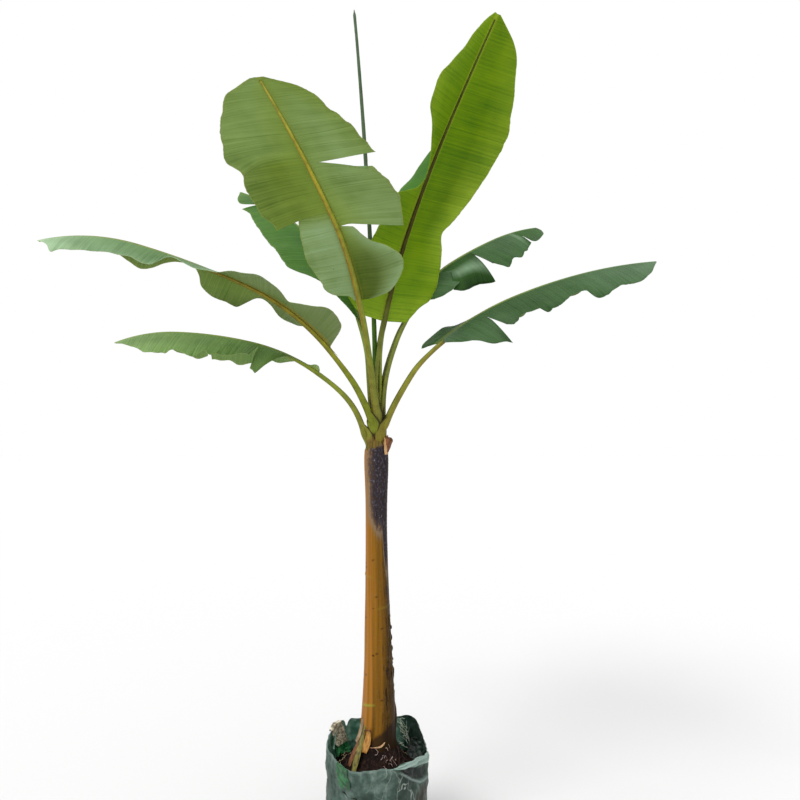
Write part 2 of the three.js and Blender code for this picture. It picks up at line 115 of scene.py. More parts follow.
# Leaves: bearing, sweep of the blade, foot (distance, bearing, height), lengths, slopes along the midline,
# and the two halves as seen from the stem with the upper side up. Some petioles are thinner or thicker
# (girth), or have their foot pushed aside, in metres, by their neighbours.
LEAVES = {
    "front_left": dict(
        bearing=244, sweep=17, foot=(.018, 229, 1.640), petiole=.400, blade=.950, girth=.80,
        aside=(.005, 0),
        rise=(84, 73, 61, 25, 8, -5),
        left=half([[(0, .060), (.010, .118), (.030, .150), (.060, .178), (.100, .193), (.140, .182),
                    (.180, .140), (.210, .100), (.250, .074), (.295, .052)],
                   [(.295, .212), (.330, .222), (.390, .233), (.425, .226), (.470, .212), (.520, .190),
                    (.585, .170)],
                   [(.585, .205), (.625, .196), (.660, .193), (.700, .174), (.740, .164), (.780, .151),
                    (.820, .139), (.860, .127), (.900, .106), (.940, .084), (.970, .052), (1, .012)]],
                  (-5, -5, 0, 5), 5,
                  tears=((.295, .20, -.012, -.066, 10, -4), (.585, .22, -.050, -.006, 4, -8)),
                  bends=((.10, .16, .45, -34), (.05, .20, .02, 24)),
                  bloom=((0, 0, .1, 1), (.22, .05, .3, 1), (.32, .1, .5, .6), (.55, .3, .6, .4),
                         (.8, .3, .5, .2), (1, .1, .2, .1)),
                  shade=((0, .8, 1, .1), (.16, .7, .8, .1), (.28, .3, .1, .1), (.36, 0, .1, .2),
                         (.6, 0, 0, .1), (1, .1, 0, 0)), wave=.5),
        right=half([[(0, .020), (.020, .036), (.030, .082), (.055, .110), (.085, .116), (.115, .125),
                     (.150, .135), (.205, .139), (.275, .128), (.325, .117), (.365, .100)],
                    [(.365, .182), (.380, .184), (.405, .193), (.460, .203), (.535, .208), (.570, .198),
                     (.605, .189), (.635, .188), (.648, .198), (.658, .212), (.680, .208), (.720, .195),
                     (.760, .183), (.800, .166), (.840, .149), (.880, .128), (.920, .108), (.950, .085),
                     (.975, .052), (1, .020)]],
                   (20, 15, 0, 5), 10,
                   tears=((.365, .50, .014, -.006, -16, 6),),
                   bends=((.63, .035, .55, 26),),
                   bloom=((0, .8, 1, .9), (.30, .7, 1, .8), (.37, .1, .1, .1), (.6, .1, .05, .3),
                          (.66, .1, .4, .4), (1, .2, .4, .3)),
                   shade=((0, .1, .2, 0), (.30, .1, 0, 0), (.38, .2, .4, .3), (.58, .2, .3, .2),
                          (.64, 0, 0, 0), (1, 0, 0, 0)), wave=.5)),
    "front_right": dict(
        bearing=-50, sweep=-3, foot=(.012, 309, 1.640), petiole=.325, blade=1.010, girth=.62,
        aside=(-.006, .004),
        rise=(98, 86, 72, 61, 53, 50),
        left=half([[(0, .100), (.040, .125), (.060, .138), (.095, .170), (.155, .173), (.210, .163),
                    (.280, .145), (.340, .123), (.380, .142), (.470, .173), (.580, .195), (.690, .204),
                    (.745, .186), (.830, .158), (.880, .135), (.920, .113), (.950, .085), (.975, .050),
                    (1, .012)]],
                  (10, 25, 25, 20), 10,
                  bloom=((0, .5, .6, .6), (.14, .1, .2, .3), (.3, 0, 0, .7), (.5, 0, .1, .9),
                         (.7, 0, 0, .5), (1, .1, .1, .2)),
                  shade=((0, 0, 0, 0), (.15, .1, .15, 0), (.3, .35, .45, 0), (.45, .4, .75, .1),
                         (.7, .4, .6, .3), (.85, .5, .5, .4), (1, .6, .6, .5)), wave=.25),
        right=half([[(0, .085), (.015, .118), (.050, .156), (.100, .166), (.170, .152), (.250, .131),
                     (.330, .118), (.415, .108), (.440, .070), (.465, .028), (.500, .008)],
                    [(.500, .006), (.530, .010), (.585, .035), (.630, .070), (.660, .104), (.685, .145),
                     (.705, .163), (.730, .168), (.785, .147), (.815, .122), (.870, .082), (.900, .070),
                     (.940, .050), (.975, .030), (1, .010)]],
                   (-25, -8, 15, 0), 10, tears=((.500, .90, 0, 0, 0, 0),),
                   bloom=((0, .5, .5, .5), (.2, .1, .1, .2), (.7, 0, .1, .4), (1, 0, .1, .4)),
                   shade=((0, 0, 0, 0), (.2, .2, .1, 0), (.4, .5, .5, .4), (.6, .6, .5, .3),
                          (1, .6, .4, .3)),
                   wave=.25)),
    "back_left": dict(
        bearing=144, sweep=-6, foot=(.018, 139, 1.630), petiole=.360, blade=.970,
        rise=(84, 85, 70, 47, 35, 25),
        left=half([[(0, .030), (.080, .090), (.140, .130), (.170, .172), (.190, .208), (.220, .228),
                    (.260, .230), (.340, .220), (.475, .198), (.600, .168), (.720, .130), (.790, .122)],
                   [(.790, .108), (.840, .104), (.895, .083), (.965, .033), (1, .010)]],
                  (0, 10, 20, 20), 15, tears=((.790, .45, .006, .014, 10, -8),),
                  bloom=((0, 0, .1, .2), (.8, .1, .1, .3), (1, .5, .6, .7)),
                  shade=((0, .2, .1, 0), (.3, .2, 0, 0), (1, .1, 0, 0)), wave=.15),
        right=half(.150, (25, 25, 20, 15), 10, tears=((.40, .5, -.01, .01, 8, -6),))),
    "left_upper": dict(
        bearing=194, sweep=-10, foot=(.026, 200, 1.566), petiole=.320, blade=1.120, girth=1.05,
        aside=(.014, -.010),
        rise=(76, 64, 49, 23, 15, -14),
        left=half([[(0, .004), (.030, .008), (.034, .060), (.040, .096), (.055, .112), (.080, .122),
                    (.105, .120), (.140, .092), (.185, .057), (.205, .044), (.225, .062), (.255, .108),
                    (.280, .148), (.300, .165), (.360, .150), (.430, .128), (.480, .108), (.520, .080),
                    (.555, .040), (.580, .022), (.596, .040), (.604, .090), (.612, .120), (.625, .120),
                    (.655, .114), (.685, .104), (.715, .106), (.780, .103), (.835, .118), (.895, .128),
                    (.915, .143), (.930, .122), (.955, .068), (.985, .028), (1, .010)]],
                  (-45, -5, 38, 30), 12, bends=((.08, .08, .3, -12),), base=(.1, -.030),
                  bloom=((0, .4, .4, .6), (.3, .4, .4, .7), (.45, .2, .3, .4), (.62, .1, .15, .4),
                         (.74, .2, .3, .5), (.85, .35, .45, .6), (.93, .7, .8, .9), (1, 1, 1, 1)),
                  shade=((0, .6, .5, .4), (.3, .2, .1, .1), (.5, .3, .3, .1), (.66, .2, .3, .2),
                         (.8, 0, .1, 0), (1, 0, 0, 0)), wave=.35),
        right=half([[(0, .010), (.100, .014), (.120, .045), (.130, .075), (.150, .095), (.175, .100),
                     (.215, .075), (.250, .045), (.280, .034), (.300, .052), (.320, .098), (.340, .130),
                     (.360, .127), (.390, .118), (.430, .110), (.460, .095), (.480, .075), (.495, .040),
                     (.520, .014), (.570, .018), (.605, .037), (.640, .068), (.675, .083), (.710, .070),
                     (.750, .054), (.780, .030), (.850, .030), (.900, .032), (.940, .024), (1, .010)]],
                   (-10, 25, 62, 15), 10, bends=((.89, .05, 0, -50), (.80, .035, 0, -60)),
                   bloom=((0, .2, .5, .4), (.25, .2, .5, .3), (.3, 0, .1, .1), (.45, 0, .1, .2),
                          (1, .2, .2, .2)),
                   shade=((0, .2, .3, .5), (.25, .3, .2, .2), (.34, .2, .2, .7), (.45, .3, .1, 0),
                          (1, 0, 0, 0)), wave=.35)),
    "left_lower": dict(
        bearing=181, sweep=-1, foot=(.038, 180, 1.510), petiole=.330, blade=.795,
        rise=(84, 54, 35, 13, 2, -21),
        left=half([[(0, .010), (.100, .014), (.160, .026), (.180, .045), (.200, .085), (.216, .135),
                    (.230, .188), (.250, .182), (.275, .158), (.305, .138)],
                   [(.305, .116), (.355, .113), (.420, .128), (.455, .127), (.475, .141), (.495, .140),
                    (.512, .128), (.530, .134), (.545, .152), (.575, .158), (.600, .147), (.640, .136),
                    (.675, .131), (.690, .150), (.705, .150), (.740, .163), (.795, .150), (.865, .105),
                    (.935, .058), (1, .010)]],
                  (15, 30, 32, 28), 15, tears=((.305, .06, -.014, .004, 42, -4),),
                  bends=((.55, .03, .6, 20), (.44, .02, .6, 16)),
                  bloom=((0, 0, .1, .1), (.32, .1, .1, .1), (.6, .1, .3, .3), (1, .6, .6, .6)),
                  shade=((0, .3, .5, .6), (.16, .3, .7, .9), (.30, .4, 1, 1), (.34, .3, .6, .9),
                         (.5, .1, .3, .5), (.7, 0, .1, 0), (1, 0, 0, 0)), wave=.45),
        right=half([[(0, .006), (.006, .015), (.016, .022), (.034, .020), (.055, .008), (.100, .014),
                     (.20, .085), (.35, .130), (.50, .140), (.70, .120), (.88, .075), (1, .010)]],
                   (15, 28, 30, 24), 15, tears=((.55, .50, -.01, .01, 8, -6),),
                   bends=((.02, .06, 0, -75),), base=(.1, 0),
                   bloom=((0, 1, 1, 1), (.08, .3, .3, .3), (1, .2, .2, .2)))),
    "right_back": dict(
        bearing=29, sweep=-10, foot=(.025, 25, 1.585), petiole=.500, blade=.715,
        rise=(94, 70, 58, 33, 26, 12),
        left=half([[(0, .030), (.15, .128), (.45, .150), (.75, .128), (.88, .096), (.96, .068), (1, .034)]],
                  (15, 20, 7, 4), 0, tears=((.45, .40, -.01, .01, 2, -2),)),
        right=half([[(0, .100), (.025, .136), (.095, .138), (.180, .126), (.235, .108), (.270, .092)],
                    [(.270, .128), (.278, .150), (.300, .160), (.345, .164), (.420, .178), (.485, .200)],
                    [(.485, .130), (.498, .165), (.512, .190), (.550, .180), (.600, .162), (.655, .170),
                     (.700, .156), (.720, .148), (.742, .150), (.775, .136), (.830, .122)],
                    [(.830, .120), (.842, .134), (.870, .125), (.905, .110), (.940, .094), (.975, .072),
                     (1, .040)]],
                   (10, 32, 34, 30), 15,
                   tears=((.270, .42, .004, -.082, 8, -6), (.485, .20, -.052, .004, 6, -8),
                          (.830, .52, -.012, -.012, 6, -4)),
                   bends=((.36, .14, .58, 46),),
                   # Rows from .28 to .46 paint a highlight along the fold of the middle lobe, and the shade
                   # rows paint shade below it
                   bloom=((0, 0, .1, .1), (.25, .1, .2, .3), (.28, -1, .8, -1.2), (.36, -1, 1, -1.2),
                          (.46, -.6, .9, -.4), (.50, .1, .1, .1), (.78, .2, .3, .2),
                          (.80, .5, .8, .2), (.83, 0, 0, 0), (1, 0, .1, .2)),
                   shade=((0, .1, .1, .2), (.27, .1, .1, .3), (.30, .2, .1, .8), (.40, .3, .1, .7),
                          (.485, .7, .5, .4), (.50, .1, .1, .1), (1, .1, .1, .1)), wave=.4)),
    "right_lower": dict(
        bearing=3, sweep=0, foot=(.032, 0, 1.545), petiole=.425, blade=.890, girth=1.05,
        aside=(-.011, -.008),
        rise=(74, 60, 40, 23, 14, 5),
        left=half([[(0, .055), (.005, .075), (.015, .088), (.030, .092), (.060, .092), (.200, .120),
                    (.400, .150), (.600, .140), (.800, .110), (.940, .060), (1, .012)]],
                  (-28, 18, 24, 20), 10, tears=((.60, .50, -.01, .01, 8, -6),), base=(-.5, -.080),
                  bloom=((0, 0, 0, 0), (.15, 0, 0, .1), (1, .2, .2, .2))),
        right=half([[(0, .050), (.006, .120), (.015, .165), (.035, .192), (.050, .205), (.065, .234),
                     (.100, .248), (.140, .253), (.185, .250)],
                    [(.185, .180), (.205, .192), (.230, .178), (.252, .162), (.285, .135), (.335, .130),
                     (.380, .134), (.400, .160), (.425, .162), (.455, .155), (.510, .135), (.545, .118),
                     (.575, .124), (.605, .140), (.625, .172), (.648, .189), (.685, .173), (.720, .155),
                     (.745, .145), (.765, .156), (.790, .163), (.845, .150), (.910, .103), (.960, .052),
                     (1, .010)]],
                   (12, 34, 32, 28), 15, tears=((.185, .34, -.034, .002, 8, -6),), base=(.05, -.022),
                   bends=((.62, .025, .5, 18), (.40, .02, .5, 14)),
                   bloom=((0, .3, .3, .2), (.3, .1, .15, .1), (.6, .1, .2, .2), (.75, .2, .45, .3),
                          (.88, .2, .6, .3), (1, .3, .6, .6)),
                   shade=((0, 0, 0, .1), (.12, 0, .1, .2), (.17, .1, .2, .9), (.2, .1, .1, .5),
                          (.5, .1, .1, .1), (1, .1, .1, .1)), wave=.4)),
    "back_right": dict(
        bearing=57, sweep=-15, foot=(.017, 54, 1.625), petiole=.365, blade=.960,
        rise=(93, 88, 69, 60, 62, 60),
        left=half([[(0, .050), (.030, .080), (.150, .150), (.300, .180), (.450, .190), (.600, .195),
                    (.755, .183), (.795, .140), (.875, .105), (.955, .070), (1, .012)]],
                  (-20, -10, 0, 0), 10, bloom=((0, 0, 0, .1), (.7, 0, 0, .4), (1, .1, .1, .3)),
                  shade=((0, 0, 0, 0), (.7, .3, .2, 0), (1, .4, .3, .1)), wave=.15),
        right=half(.150, (-35, -35, -30, -25), 10)),
}

# ---- small helpers ------------------------------------------------------------------------------


def srgb(hex_colour):
    """Linear colour of an sRGB hex value."""
    parts = [int(hex_colour[i:i + 2], 16) / 255 for i in (1, 3, 5)]
    linear = [p / 12.92 if p <= .04045 else ((p + .055) / 1.055) ** 2.4 for p in parts]
    return (*linear, 1)


def smooth(low, high, x):
    """0 below low, 1 above high, with a soft passage between."""
    share = min(1, max(0, (x - low) / (high - low)))
    return share * share * (3 - 2 * share)


def flowing(places, values, x):
    """Value at x of a soft curve through the points (places, values)."""
    if x <= places[0]:
        return values[0]
    if x >= places[-1]:
        return values[-1]
    i = next(k for k in range(1, len(places)) if x <= places[k])
    width = places[i] - places[i - 1]
    share = (x - places[i - 1]) / width

    def slope(k):
        low, high = max(k - 1, 0), min(k + 1, len(places) - 1)
        return (values[high] - values[low]) / (places[high] - places[low]) * width

    a, b = values[i - 1], values[i]
    da, db = slope(i - 1), slope(i)
    return (a + share * da + share ** 2 * (3 * (b - a) - 2 * da - db)
            + share ** 3 * (2 * (a - b) + da + db))


def heading(bearing, rise=0.0):
    """Direction of unit length at a bearing and a rise above the level, both in degrees."""
    a, e = math.radians(bearing), math.radians(rise)
    return Vector((math.cos(e) * math.cos(a), math.cos(e) * math.sin(a), math.sin(e)))


def wrapped(angle):
    """The angle between -180 and 180 degrees."""
    return (angle + 180) % 360 - 180


def tube(sides, steps, caps=True):
    """Upright tube of unit radius and height in quads, whose points are then put in place one by one."""
    bm = bmesh.new()
    bmesh.ops.create_cone(bm, cap_ends=caps, segments=sides, radius1=1, radius2=1, depth=1)
    bmesh.ops.translate(bm, verts=bm.verts, vec=(0, 0, .5))
    upright = [e for e in bm.edges if abs(e.verts[0].co.z - e.verts[1].co.z) > .5]
    bmesh.ops.subdivide_edges(bm, edges=upright, cuts=steps - 1)
    return bm


def sheet(columns, rows):
    """Flat grid of unit size, in columns along X, whose points are then put in place one by one."""
    bm = bmesh.new()
    bmesh.ops.create_grid(bm, x_segments=columns, y_segments=rows, size=.5)
    for v in bm.verts:
        v.co.z = 0
    return bm


def marks_on(bm, *names):
    """Attributes of the points, by name, which the materials read."""
    return {name: bm.verts.layers.float.new(name) for name in names}


def place(bm, where):
    """Puts each point of a tube where a function of its angle in degrees, its height and itself says."""
    for v in bm.verts:
        v.co = where(math.degrees(math.atan2(v.co.y, v.co.x)) % 360, min(1, max(0, v.co.z)), v)


def piece(name, bm, skins, slot, stands_for=(), film=0.0):
    """Turns a bmesh into a finished piece of the plant, as a film of that thickness if one is given. Its
    faces are turned outwards, but a blade's stay as they are, as its upper side has a skin of its own."""
    if slot != "leaf":
        bmesh.ops.recalc_face_normals(bm, faces=bm.faces)
    mesh = bpy.data.meshes.new(name)
    bm.to_mesh(mesh)
    bm.free()
    for skin in skins:
        mesh.materials.append(skin)
    mesh.polygons.foreach_set("use_smooth", [True] * len(mesh.polygons))
    made = bpy.data.objects.new(name, mesh)
    bpy.context.scene.collection.objects.link(made)
    if film:
        solid = made.modifiers.new("film", "SOLIDIFY")
        solid.thickness = film
        solid.offset = 0
        solid.material_offset = len(skins) - 1
    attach(made, "root")
    if stands_for:
        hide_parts(*stands_for)
    return made


# ---- materials ----------------------------------------------------------------------------------


def skin_tree(name):
    """New material with an empty node tree."""
    material = bpy.data.materials.new(name)
    material.use_nodes = True
    material.node_tree.nodes.clear()
    return material, material.node_tree


def add(tree, kind, inputs=None, **settings):
    """Adds one shader node. An input's key is its name or number, its value a number, colour or node."""
    made = tree.nodes.new("ShaderNode" + kind)
    for key, value in settings.items():
        if key == "stops":
            elements = made.color_ramp.elements
            while len(elements) < len(value):
                elements.new(1)
            for element, (position, colour) in zip(elements, value):
                element.position = position
                element.color = srgb(colour)
        else:
            setattr(made, key, value)
    for key, value in (inputs or {}).items():
        named = [s for s in made.inputs if s.name == key and s.enabled]
        socket = made.inputs[key] if isinstance(key, int) else named[0]
        if isinstance(value, bpy.types.Node):
            value = next(s for s in value.outputs if s.enabled)
        if isinstance(value, bpy.types.NodeSocket):
            tree.links.new(value, socket)
        else:
            socket.default_value = value
    return made


def blended(tree, *parts, start=0):
    """A start value plus patterns, each times its weight."""
    total = start
    for pattern, weight in parts:
        total = add(tree, "Math", {0: pattern, 1: weight, 2: total}, operation="MULTIPLY_ADD")
    return total


def laid_over(tree, below, pattern, passage, colour):
    """Colour laid over another by a pattern. Its passage: the two ends, then the share at each of them."""
    share = add(tree, "MapRange", {0: pattern, **dict(enumerate(passage, 1))})
    return add(tree, "Mix", {"Factor": share, "A": below, "B": srgb(colour)}, data_type="RGBA")


def marked(tree, below, name, pattern, weight, low, high, most, colour):
    """Colour laid over another where a vertex attribute says so, its edge made ragged by a pattern."""
    mark = add(tree, "Attribute", attribute_name=name)
    ragged = blended(tree, (pattern, weight), start=mark.outputs["Fac"])
    return laid_over(tree, below, ragged, (low, high, 0, most), colour)


def sparse_dots(tree, run, stretched, reach, most, rare_scale, rare_above):
    """Small dots in the cells of a stretched run, kept only where a broad pattern is high."""
    cells = add(tree, "TexVoronoi", stretched)
    dot = add(tree, "MapRange", {0: cells, 1: reach[0], 2: reach[1], 3: most, 4: 0})
    broad = add(tree, "TexNoise", {"Vector": run, "Scale": rare_scale, "Detail": 0})
    here = add(tree, "Math", {0: broad, 1: rare_above}, operation="GREATER_THAN")
    return add(tree, "Math", {0: dot, 1: here}, operation="MULTIPLY")


def finish_skin(material, tree, colour, roughness, relief, ior=1.45, shine=.5, through=None):
    """Puts the surface together; through is the share of light let through, and its colour."""
    surface = add(tree, "BsdfPrincipled", {
        "Base Color": colour, "Roughness": roughness, "IOR": ior, "Specular IOR Level": shine,
        "Normal": relief})
    if through:
        glow = add(tree, "BsdfTranslucent", {"Color": through[1], "Normal": relief})
        surface = add(tree, "MixShader", {0: through[0], 1: surface, 2: glow})
    add(tree, "OutputMaterial", {"Surface": surface})
    return material


def leaf_grain(tree, run):
    """Fine streaks along the veins of a blade (5 mm), broader strips (14 mm), bands and blotches."""
    fine = add(tree, "Mapping", {0: run, 3: (1 / .0048, 1 / .40, 1)})
    streaks = add(tree, "TexNoise", {"Vector": fine, "Scale": 1, "Detail": 3, "Roughness": .6})
    wide = add(tree, "Mapping", {0: run, 3: (1 / .014, 1 / .45, 1)})
    strips = add(tree, "TexNoise", {"Vector": wide, "Scale": 1, "Detail": 2, "Roughness": .5})
    lengthwise = add(tree, "Mapping", {0: run, 3: (1 / .55, 1 / .05, 1)})
    bands = add(tree, "TexNoise", {"Vector": lengthwise, "Scale": 1, "Detail": 1, "Roughness": .4})
    place_in = add(tree, "TexCoord")
    blotch = add(tree, "TexNoise", {"Vector": place_in.outputs["Object"], "Scale": 7, "Detail": 3})
    return streaks, blended(tree, (streaks, .46), (strips, .12), (bands, .10), (blotch, .38))


def waxed_green(tree, grain, dark, light, bloom):
    """Green of a blade: paler on its raised veins, with a wax bloom in streaks that also paints highlights,
    and painted shade.
    """
    green = add(tree, "ValToRGB", {0: grain}, stops=[(.40, dark), (.64, light)])
    vein = add(tree, "Attribute", attribute_name="vein")
    vein_share = add(tree, "Math", {0: vein.outputs["Fac"], 1: .50}, operation="MULTIPLY")
    veined = add(tree, "Mix", {"Factor": vein_share, "A": green, "B": srgb(light)}, data_type="RGBA")
    # Wax bloom, which also serves as painted highlight on folds and on parts of a lobe that face the light
    wax_and_highlight = add(tree, "Attribute", attribute_name="bloom")
    patchy = add(tree, "MapRange", {0: grain, 1: .40, 2: .62, 3: .45, 4: 1.1})
    wax_and_highlight_share = add(tree, "Math", {0: wax_and_highlight.outputs["Fac"], 1: patchy}, operation="MULTIPLY", use_clamp=True)
    waxed_and_highlighted = add(tree, "Mix", {"Factor": wax_and_highlight_share, "A": veined, "B": srgb(bloom)}, data_type="RGBA")
    # Painted shade from the shade table: darker where a blade is folded or faces away
    deep = add(tree, "Attribute", attribute_name="shade")
    shade_darkening = add(tree, "MapRange", {0: deep.outputs["Fac"], 1: 0, 2: 1, 3: 1, 4: .46})
    return vein, add(tree, "VectorMath", {0: waxed_and_highlighted, "Scale": shade_darkening}, operation="SCALE")


def blade_skin(name, dark, light, bloom, rib, margin, roughness, glow, glow_colour):
    """Banana leaf: a thin waxy blade with fine cross veins, which lets light through."""
    material, tree = skin_tree(name)
    run = add(tree, "UVMap", uv_map="blade")                     # metres along and across the blade
    streaks, grain = leaf_grain(tree, run)
    vein, green = waxed_green(tree, grain, dark, light, bloom)

    # Yellowish beside the rib and in a thin line along the margin, with a few dark specks
    beside = add(tree, "Attribute", attribute_name="beside")
    ribbed = laid_over(tree, green, beside.outputs["Fac"], (0, .008, .62, 0), rib)
    edge = add(tree, "Attribute", attribute_name="margin")
    edged = laid_over(tree, ribbed, edge.outputs["Fac"], (.0006, .0040, .7, 0), margin)
    specks = sparse_dots(tree, run, {"Vector": run, "Scale": 34, "Randomness": 1}, (.035, .075), .75, 11,
                         .56)
    coloured = add(tree, "Mix", {"Factor": specks, "A": edged, "B": srgb("#3f4420")}, data_type="RGBA")

    height = blended(tree, (streaks, .6), start=vein.outputs["Fac"])
    relief = add(tree, "Bump", {"Strength": .45, "Distance": .0007, "Height": height})
    dull = add(tree, "MapRange", {0: grain, 1: .35, 2: .65, 3: roughness - .07, 4: roughness + .09})
    tinted = add(tree, "Mix", {"Factor": .55, "A": coloured, "B": srgb(glow_colour)}, data_type="RGBA")
    return finish_skin(material, tree, coloured, dull, relief, shine=.16, through=(glow, tinted))


def stalk_skin(name, stops, lower, sided=.1):
    """Petiole and midrib: waxy green stalk, whose colour changes from its foot to its tip."""
    material, tree = skin_tree(name)
    run = add(tree, "UVMap", uv_map="stalk")                     # share of the length, share round
    split = add(tree, "SeparateXYZ", {0: run})
    along = add(tree, "ValToRGB", {0: split.outputs["X"]}, stops=stops)

    # Another colour on its lower and right side, and painted shade in the groove along its upper side
    turned = add(tree, "Attribute", attribute_name="turned")      # 0 on its left, 1 on its right
    both_sides = blended(tree, (split.outputs["Y"], .9 - .8 * sided), (turned.outputs["Fac"], sided))
    past_foot = add(tree, "MapRange", {0: split.outputs["X"], 1: .16, 2: .34, 3: .35, 4: 1})
    under_full = add(tree, "MapRange", {0: both_sides, 1: .35, 2: 1.05, 3: 0, 4: .85})
    under = add(tree, "Math", {0: under_full, 1: past_foot}, operation="MULTIPLY")
    shaded = add(tree, "Mix", {"Factor": under, "A": along, "B": srgb(lower)}, data_type="RGBA")
    groove_shaded = laid_over(tree, shaded, split.outputs["Y"], (0, .30, .62, 0), "#343a14")

    fibre_run = add(tree, "Mapping", {0: run, 3: (14, 9, 1)})
    fibres = add(tree, "TexNoise", {"Vector": fibre_run, "Scale": 4, "Detail": 4, "Roughness": .6})
    place_in = add(tree, "TexCoord")
    blotch = add(tree, "TexNoise", {"Vector": place_in.outputs["Object"], "Scale": 26, "Detail": 3})
    mottle = blended(tree, (fibres, .5), (blotch, .5))
    tone = add(tree, "MapRange", {0: mottle, 1: .36, 2: .64, 3: .66, 4: 1.30})
    scaled = add(tree, "VectorMath", {0: groove_shaded, "Scale": tone}, operation="SCALE")
    # Painted shade in the crevices between the sheaths, and at the foot of each clasp
    crevice_shaded = marked(tree, scaled, "crevice", fibres, .7, .62, 1.05, .92, "#2c2012")
    dried = marked(tree, crevice_shaded, "dead", fibres, .9, .70, 1.15, .9, "#6c5228")
    relief = add(tree, "Bump", {"Strength": .3, "Distance": .0006, "Height": fibres})
    return finish_skin(material, tree, dried, .5, relief, shine=.15)


def sheath_brown(tree, run):
    """Fibrous brown of dead sheaths (strands of 10 mm, threads of 2 mm), orange where warm, split where
    they have died back. Their warmth also holds painted light on the left and painted shade on the right."""
    long_run = add(tree, "Mapping", {0: run, 3: (1 / .010, 1 / .30, 1)})
    strands = add(tree, "TexNoise", {"Vector": long_run, "Scale": 1, "Detail": 4, "Roughness": .55})
    fine_run = add(tree, "Mapping", {0: run, 3: (1 / .0022, 1 / .09, 1)})
    threads = add(tree, "TexNoise", {"Vector": fine_run, "Scale": 1, "Detail": 3, "Roughness": .6})
    # The sheaths' warmth, which also holds painted light on the left of the stem and painted shade on its
    # right
    warmth = add(tree, "Attribute", attribute_name="warmth")     # 0 dark brown, .5 golden, 1 orange
    tone = blended(tree, (strands, .34), (threads, .16), start=warmth.outputs["Fac"])
    brown = add(tree, "ValToRGB", {0: tone}, stops=[
        (.22, "#2c1e07"), (.36, "#45300a"), (.52, "#684710"), (.66, "#835914"), (.80, "#976422"),
        (.95, "#9f692c")])
    split_run = add(tree, "Mapping", {0: run, 3: (1 / .0085, 1 / .075, 1)})
    splits = add(tree, "TexNoise", {"Vector": split_run, "Scale": 1, "Detail": 3, "Roughness": .55})
    split_at = add(tree, "MapRange", {0: splits, 1: .56, 2: .62, 3: 0, 4: .85})
    split_side = add(tree, "MapRange", {0: warmth.outputs["Fac"], 1: .34, 2: .20, 3: 0, 4: 1})
    split_share = add(tree, "Math", {0: split_at, 1: split_side}, operation="MULTIPLY")
    seam = add(tree, "Attribute", attribute_name="seam")
    seam_share = add(tree, "Math", {0: seam.outputs["Fac"], 1: .42}, operation="MULTIPLY")
    dark_share = add(tree, "Math", {0: split_share, 1: seam_share}, operation="MAXIMUM")
    return strands, threads, add(tree, "Mix", {"Factor": dark_share, "A": brown, "B": srgb("#20130c")},
                                 data_type="RGBA")


def weathered_band(tree, run, below, strands):
    """Grey weathered band: scabby dead tissue with pale flecks, a grey veil beside it, a rusty edge."""
    burnt = add(tree, "Attribute", attribute_name="burnt")
    scab_run = add(tree, "Mapping", {0: run, 3: (1 / .0075, 1 / .013, 1)})
    scabs = add(tree, "TexNoise", {"Vector": scab_run, "Scale": 1, "Detail": 5, "Roughness": .66,
                                   "Distortion": .6})
    scab_colour = add(tree, "ValToRGB", {0: scabs}, stops=[
        (.34, "#151115"), (.48, "#2e292e"), (.60, "#443f46"), (.74, "#827e88")])
    frayed = blended(tree, (strands, .4), (scabs, 1.3), start=-.20)
    inside = add(tree, "Math", {0: frayed, 1: burnt.outputs["Fac"]}, operation="ADD")
    scab_share = add(tree, "MapRange", {0: inside, 1: 1.16, 2: 1.62, 3: 0, 4: 1})
    beside = blended(tree, (scabs, .5), start=burnt.outputs["Fac"])
    veiled = laid_over(tree, below, beside, (.26, .58, 0, .8), "#7c6c58")
    rusty = laid_over(tree, veiled, inside, (1.02, 1.34, 0, .6), "#4a2a1a")
    banded = add(tree, "Mix", {"Factor": scab_share, "A": rusty, "B": scab_colour}, data_type="RGBA")
    scab_height = add(tree, "Math", {0: scabs, 1: scab_share}, operation="MULTIPLY")
    dull = add(tree, "MapRange", {0: burnt.outputs["Fac"], 1: 0, 2: 1, 3: .42, 4: .85})
    return scab_height, dull, banded


def sheath_skin():
    """Dead and living leaf sheaths of the pseudostem: smooth, fibrous along, orange-brown to dark brown."""
    material, tree = skin_tree("leaf_sheath")
    run = add(tree, "UVMap", uv_map="sheath")                    # metres round and up
    strands, threads, brown = sheath_brown(tree, run)
    scab_height, dull, banded = weathered_band(tree, run, brown, strands)

    # Green and yellow leaf scars, living green at the top, wet soil up the foot, and small dark dashes
    scar = add(tree, "Attribute", attribute_name="scar")
    scarred = add(tree, "Mix", {"Factor": scar.outputs["Fac"], "A": banded, "B": srgb("#8a8c34")},
                  data_type="RGBA")
    living = add(tree, "Attribute", attribute_name="fresh")
    living_colour = add(tree, "ValToRGB", {0: strands}, stops=[(.42, "#4a4a1a"), (.58, "#7c6230")])
    fresh = add(tree, "Mix", {"Factor": living.outputs["Fac"], "A": scarred, "B": living_colour},
                data_type="RGBA")
    soiled = marked(tree, fresh, "damp", strands, .8, .75, 1.15, .86, "#271b12")
    dash_run = add(tree, "Mapping", {0: run, 2: (0, 0, .5), 3: (1 / .050, 1 / .034, 1)})
    dashes = sparse_dots(tree, run, {"Vector": dash_run, "Scale": 1, "Randomness": 1}, (.07, .13), .85, 12,
                         .53)
    dash_set = add(tree, "Attribute", attribute_name="dash")
    dash_share = add(tree, "Math", {0: dashes, 1: dash_set.outputs["Fac"]}, operation="MAXIMUM")
    dashed = add(tree, "Mix", {"Factor": dash_share, "A": soiled, "B": srgb("#2a1a10")}, data_type="RGBA")

    height = blended(tree, (scab_height, 3), start=threads)
    relief = add(tree, "Bump", {"Strength": .6, "Distance": .0007, "Height": height})
    return finish_skin(material, tree, dashed, dull, relief, shine=.08)


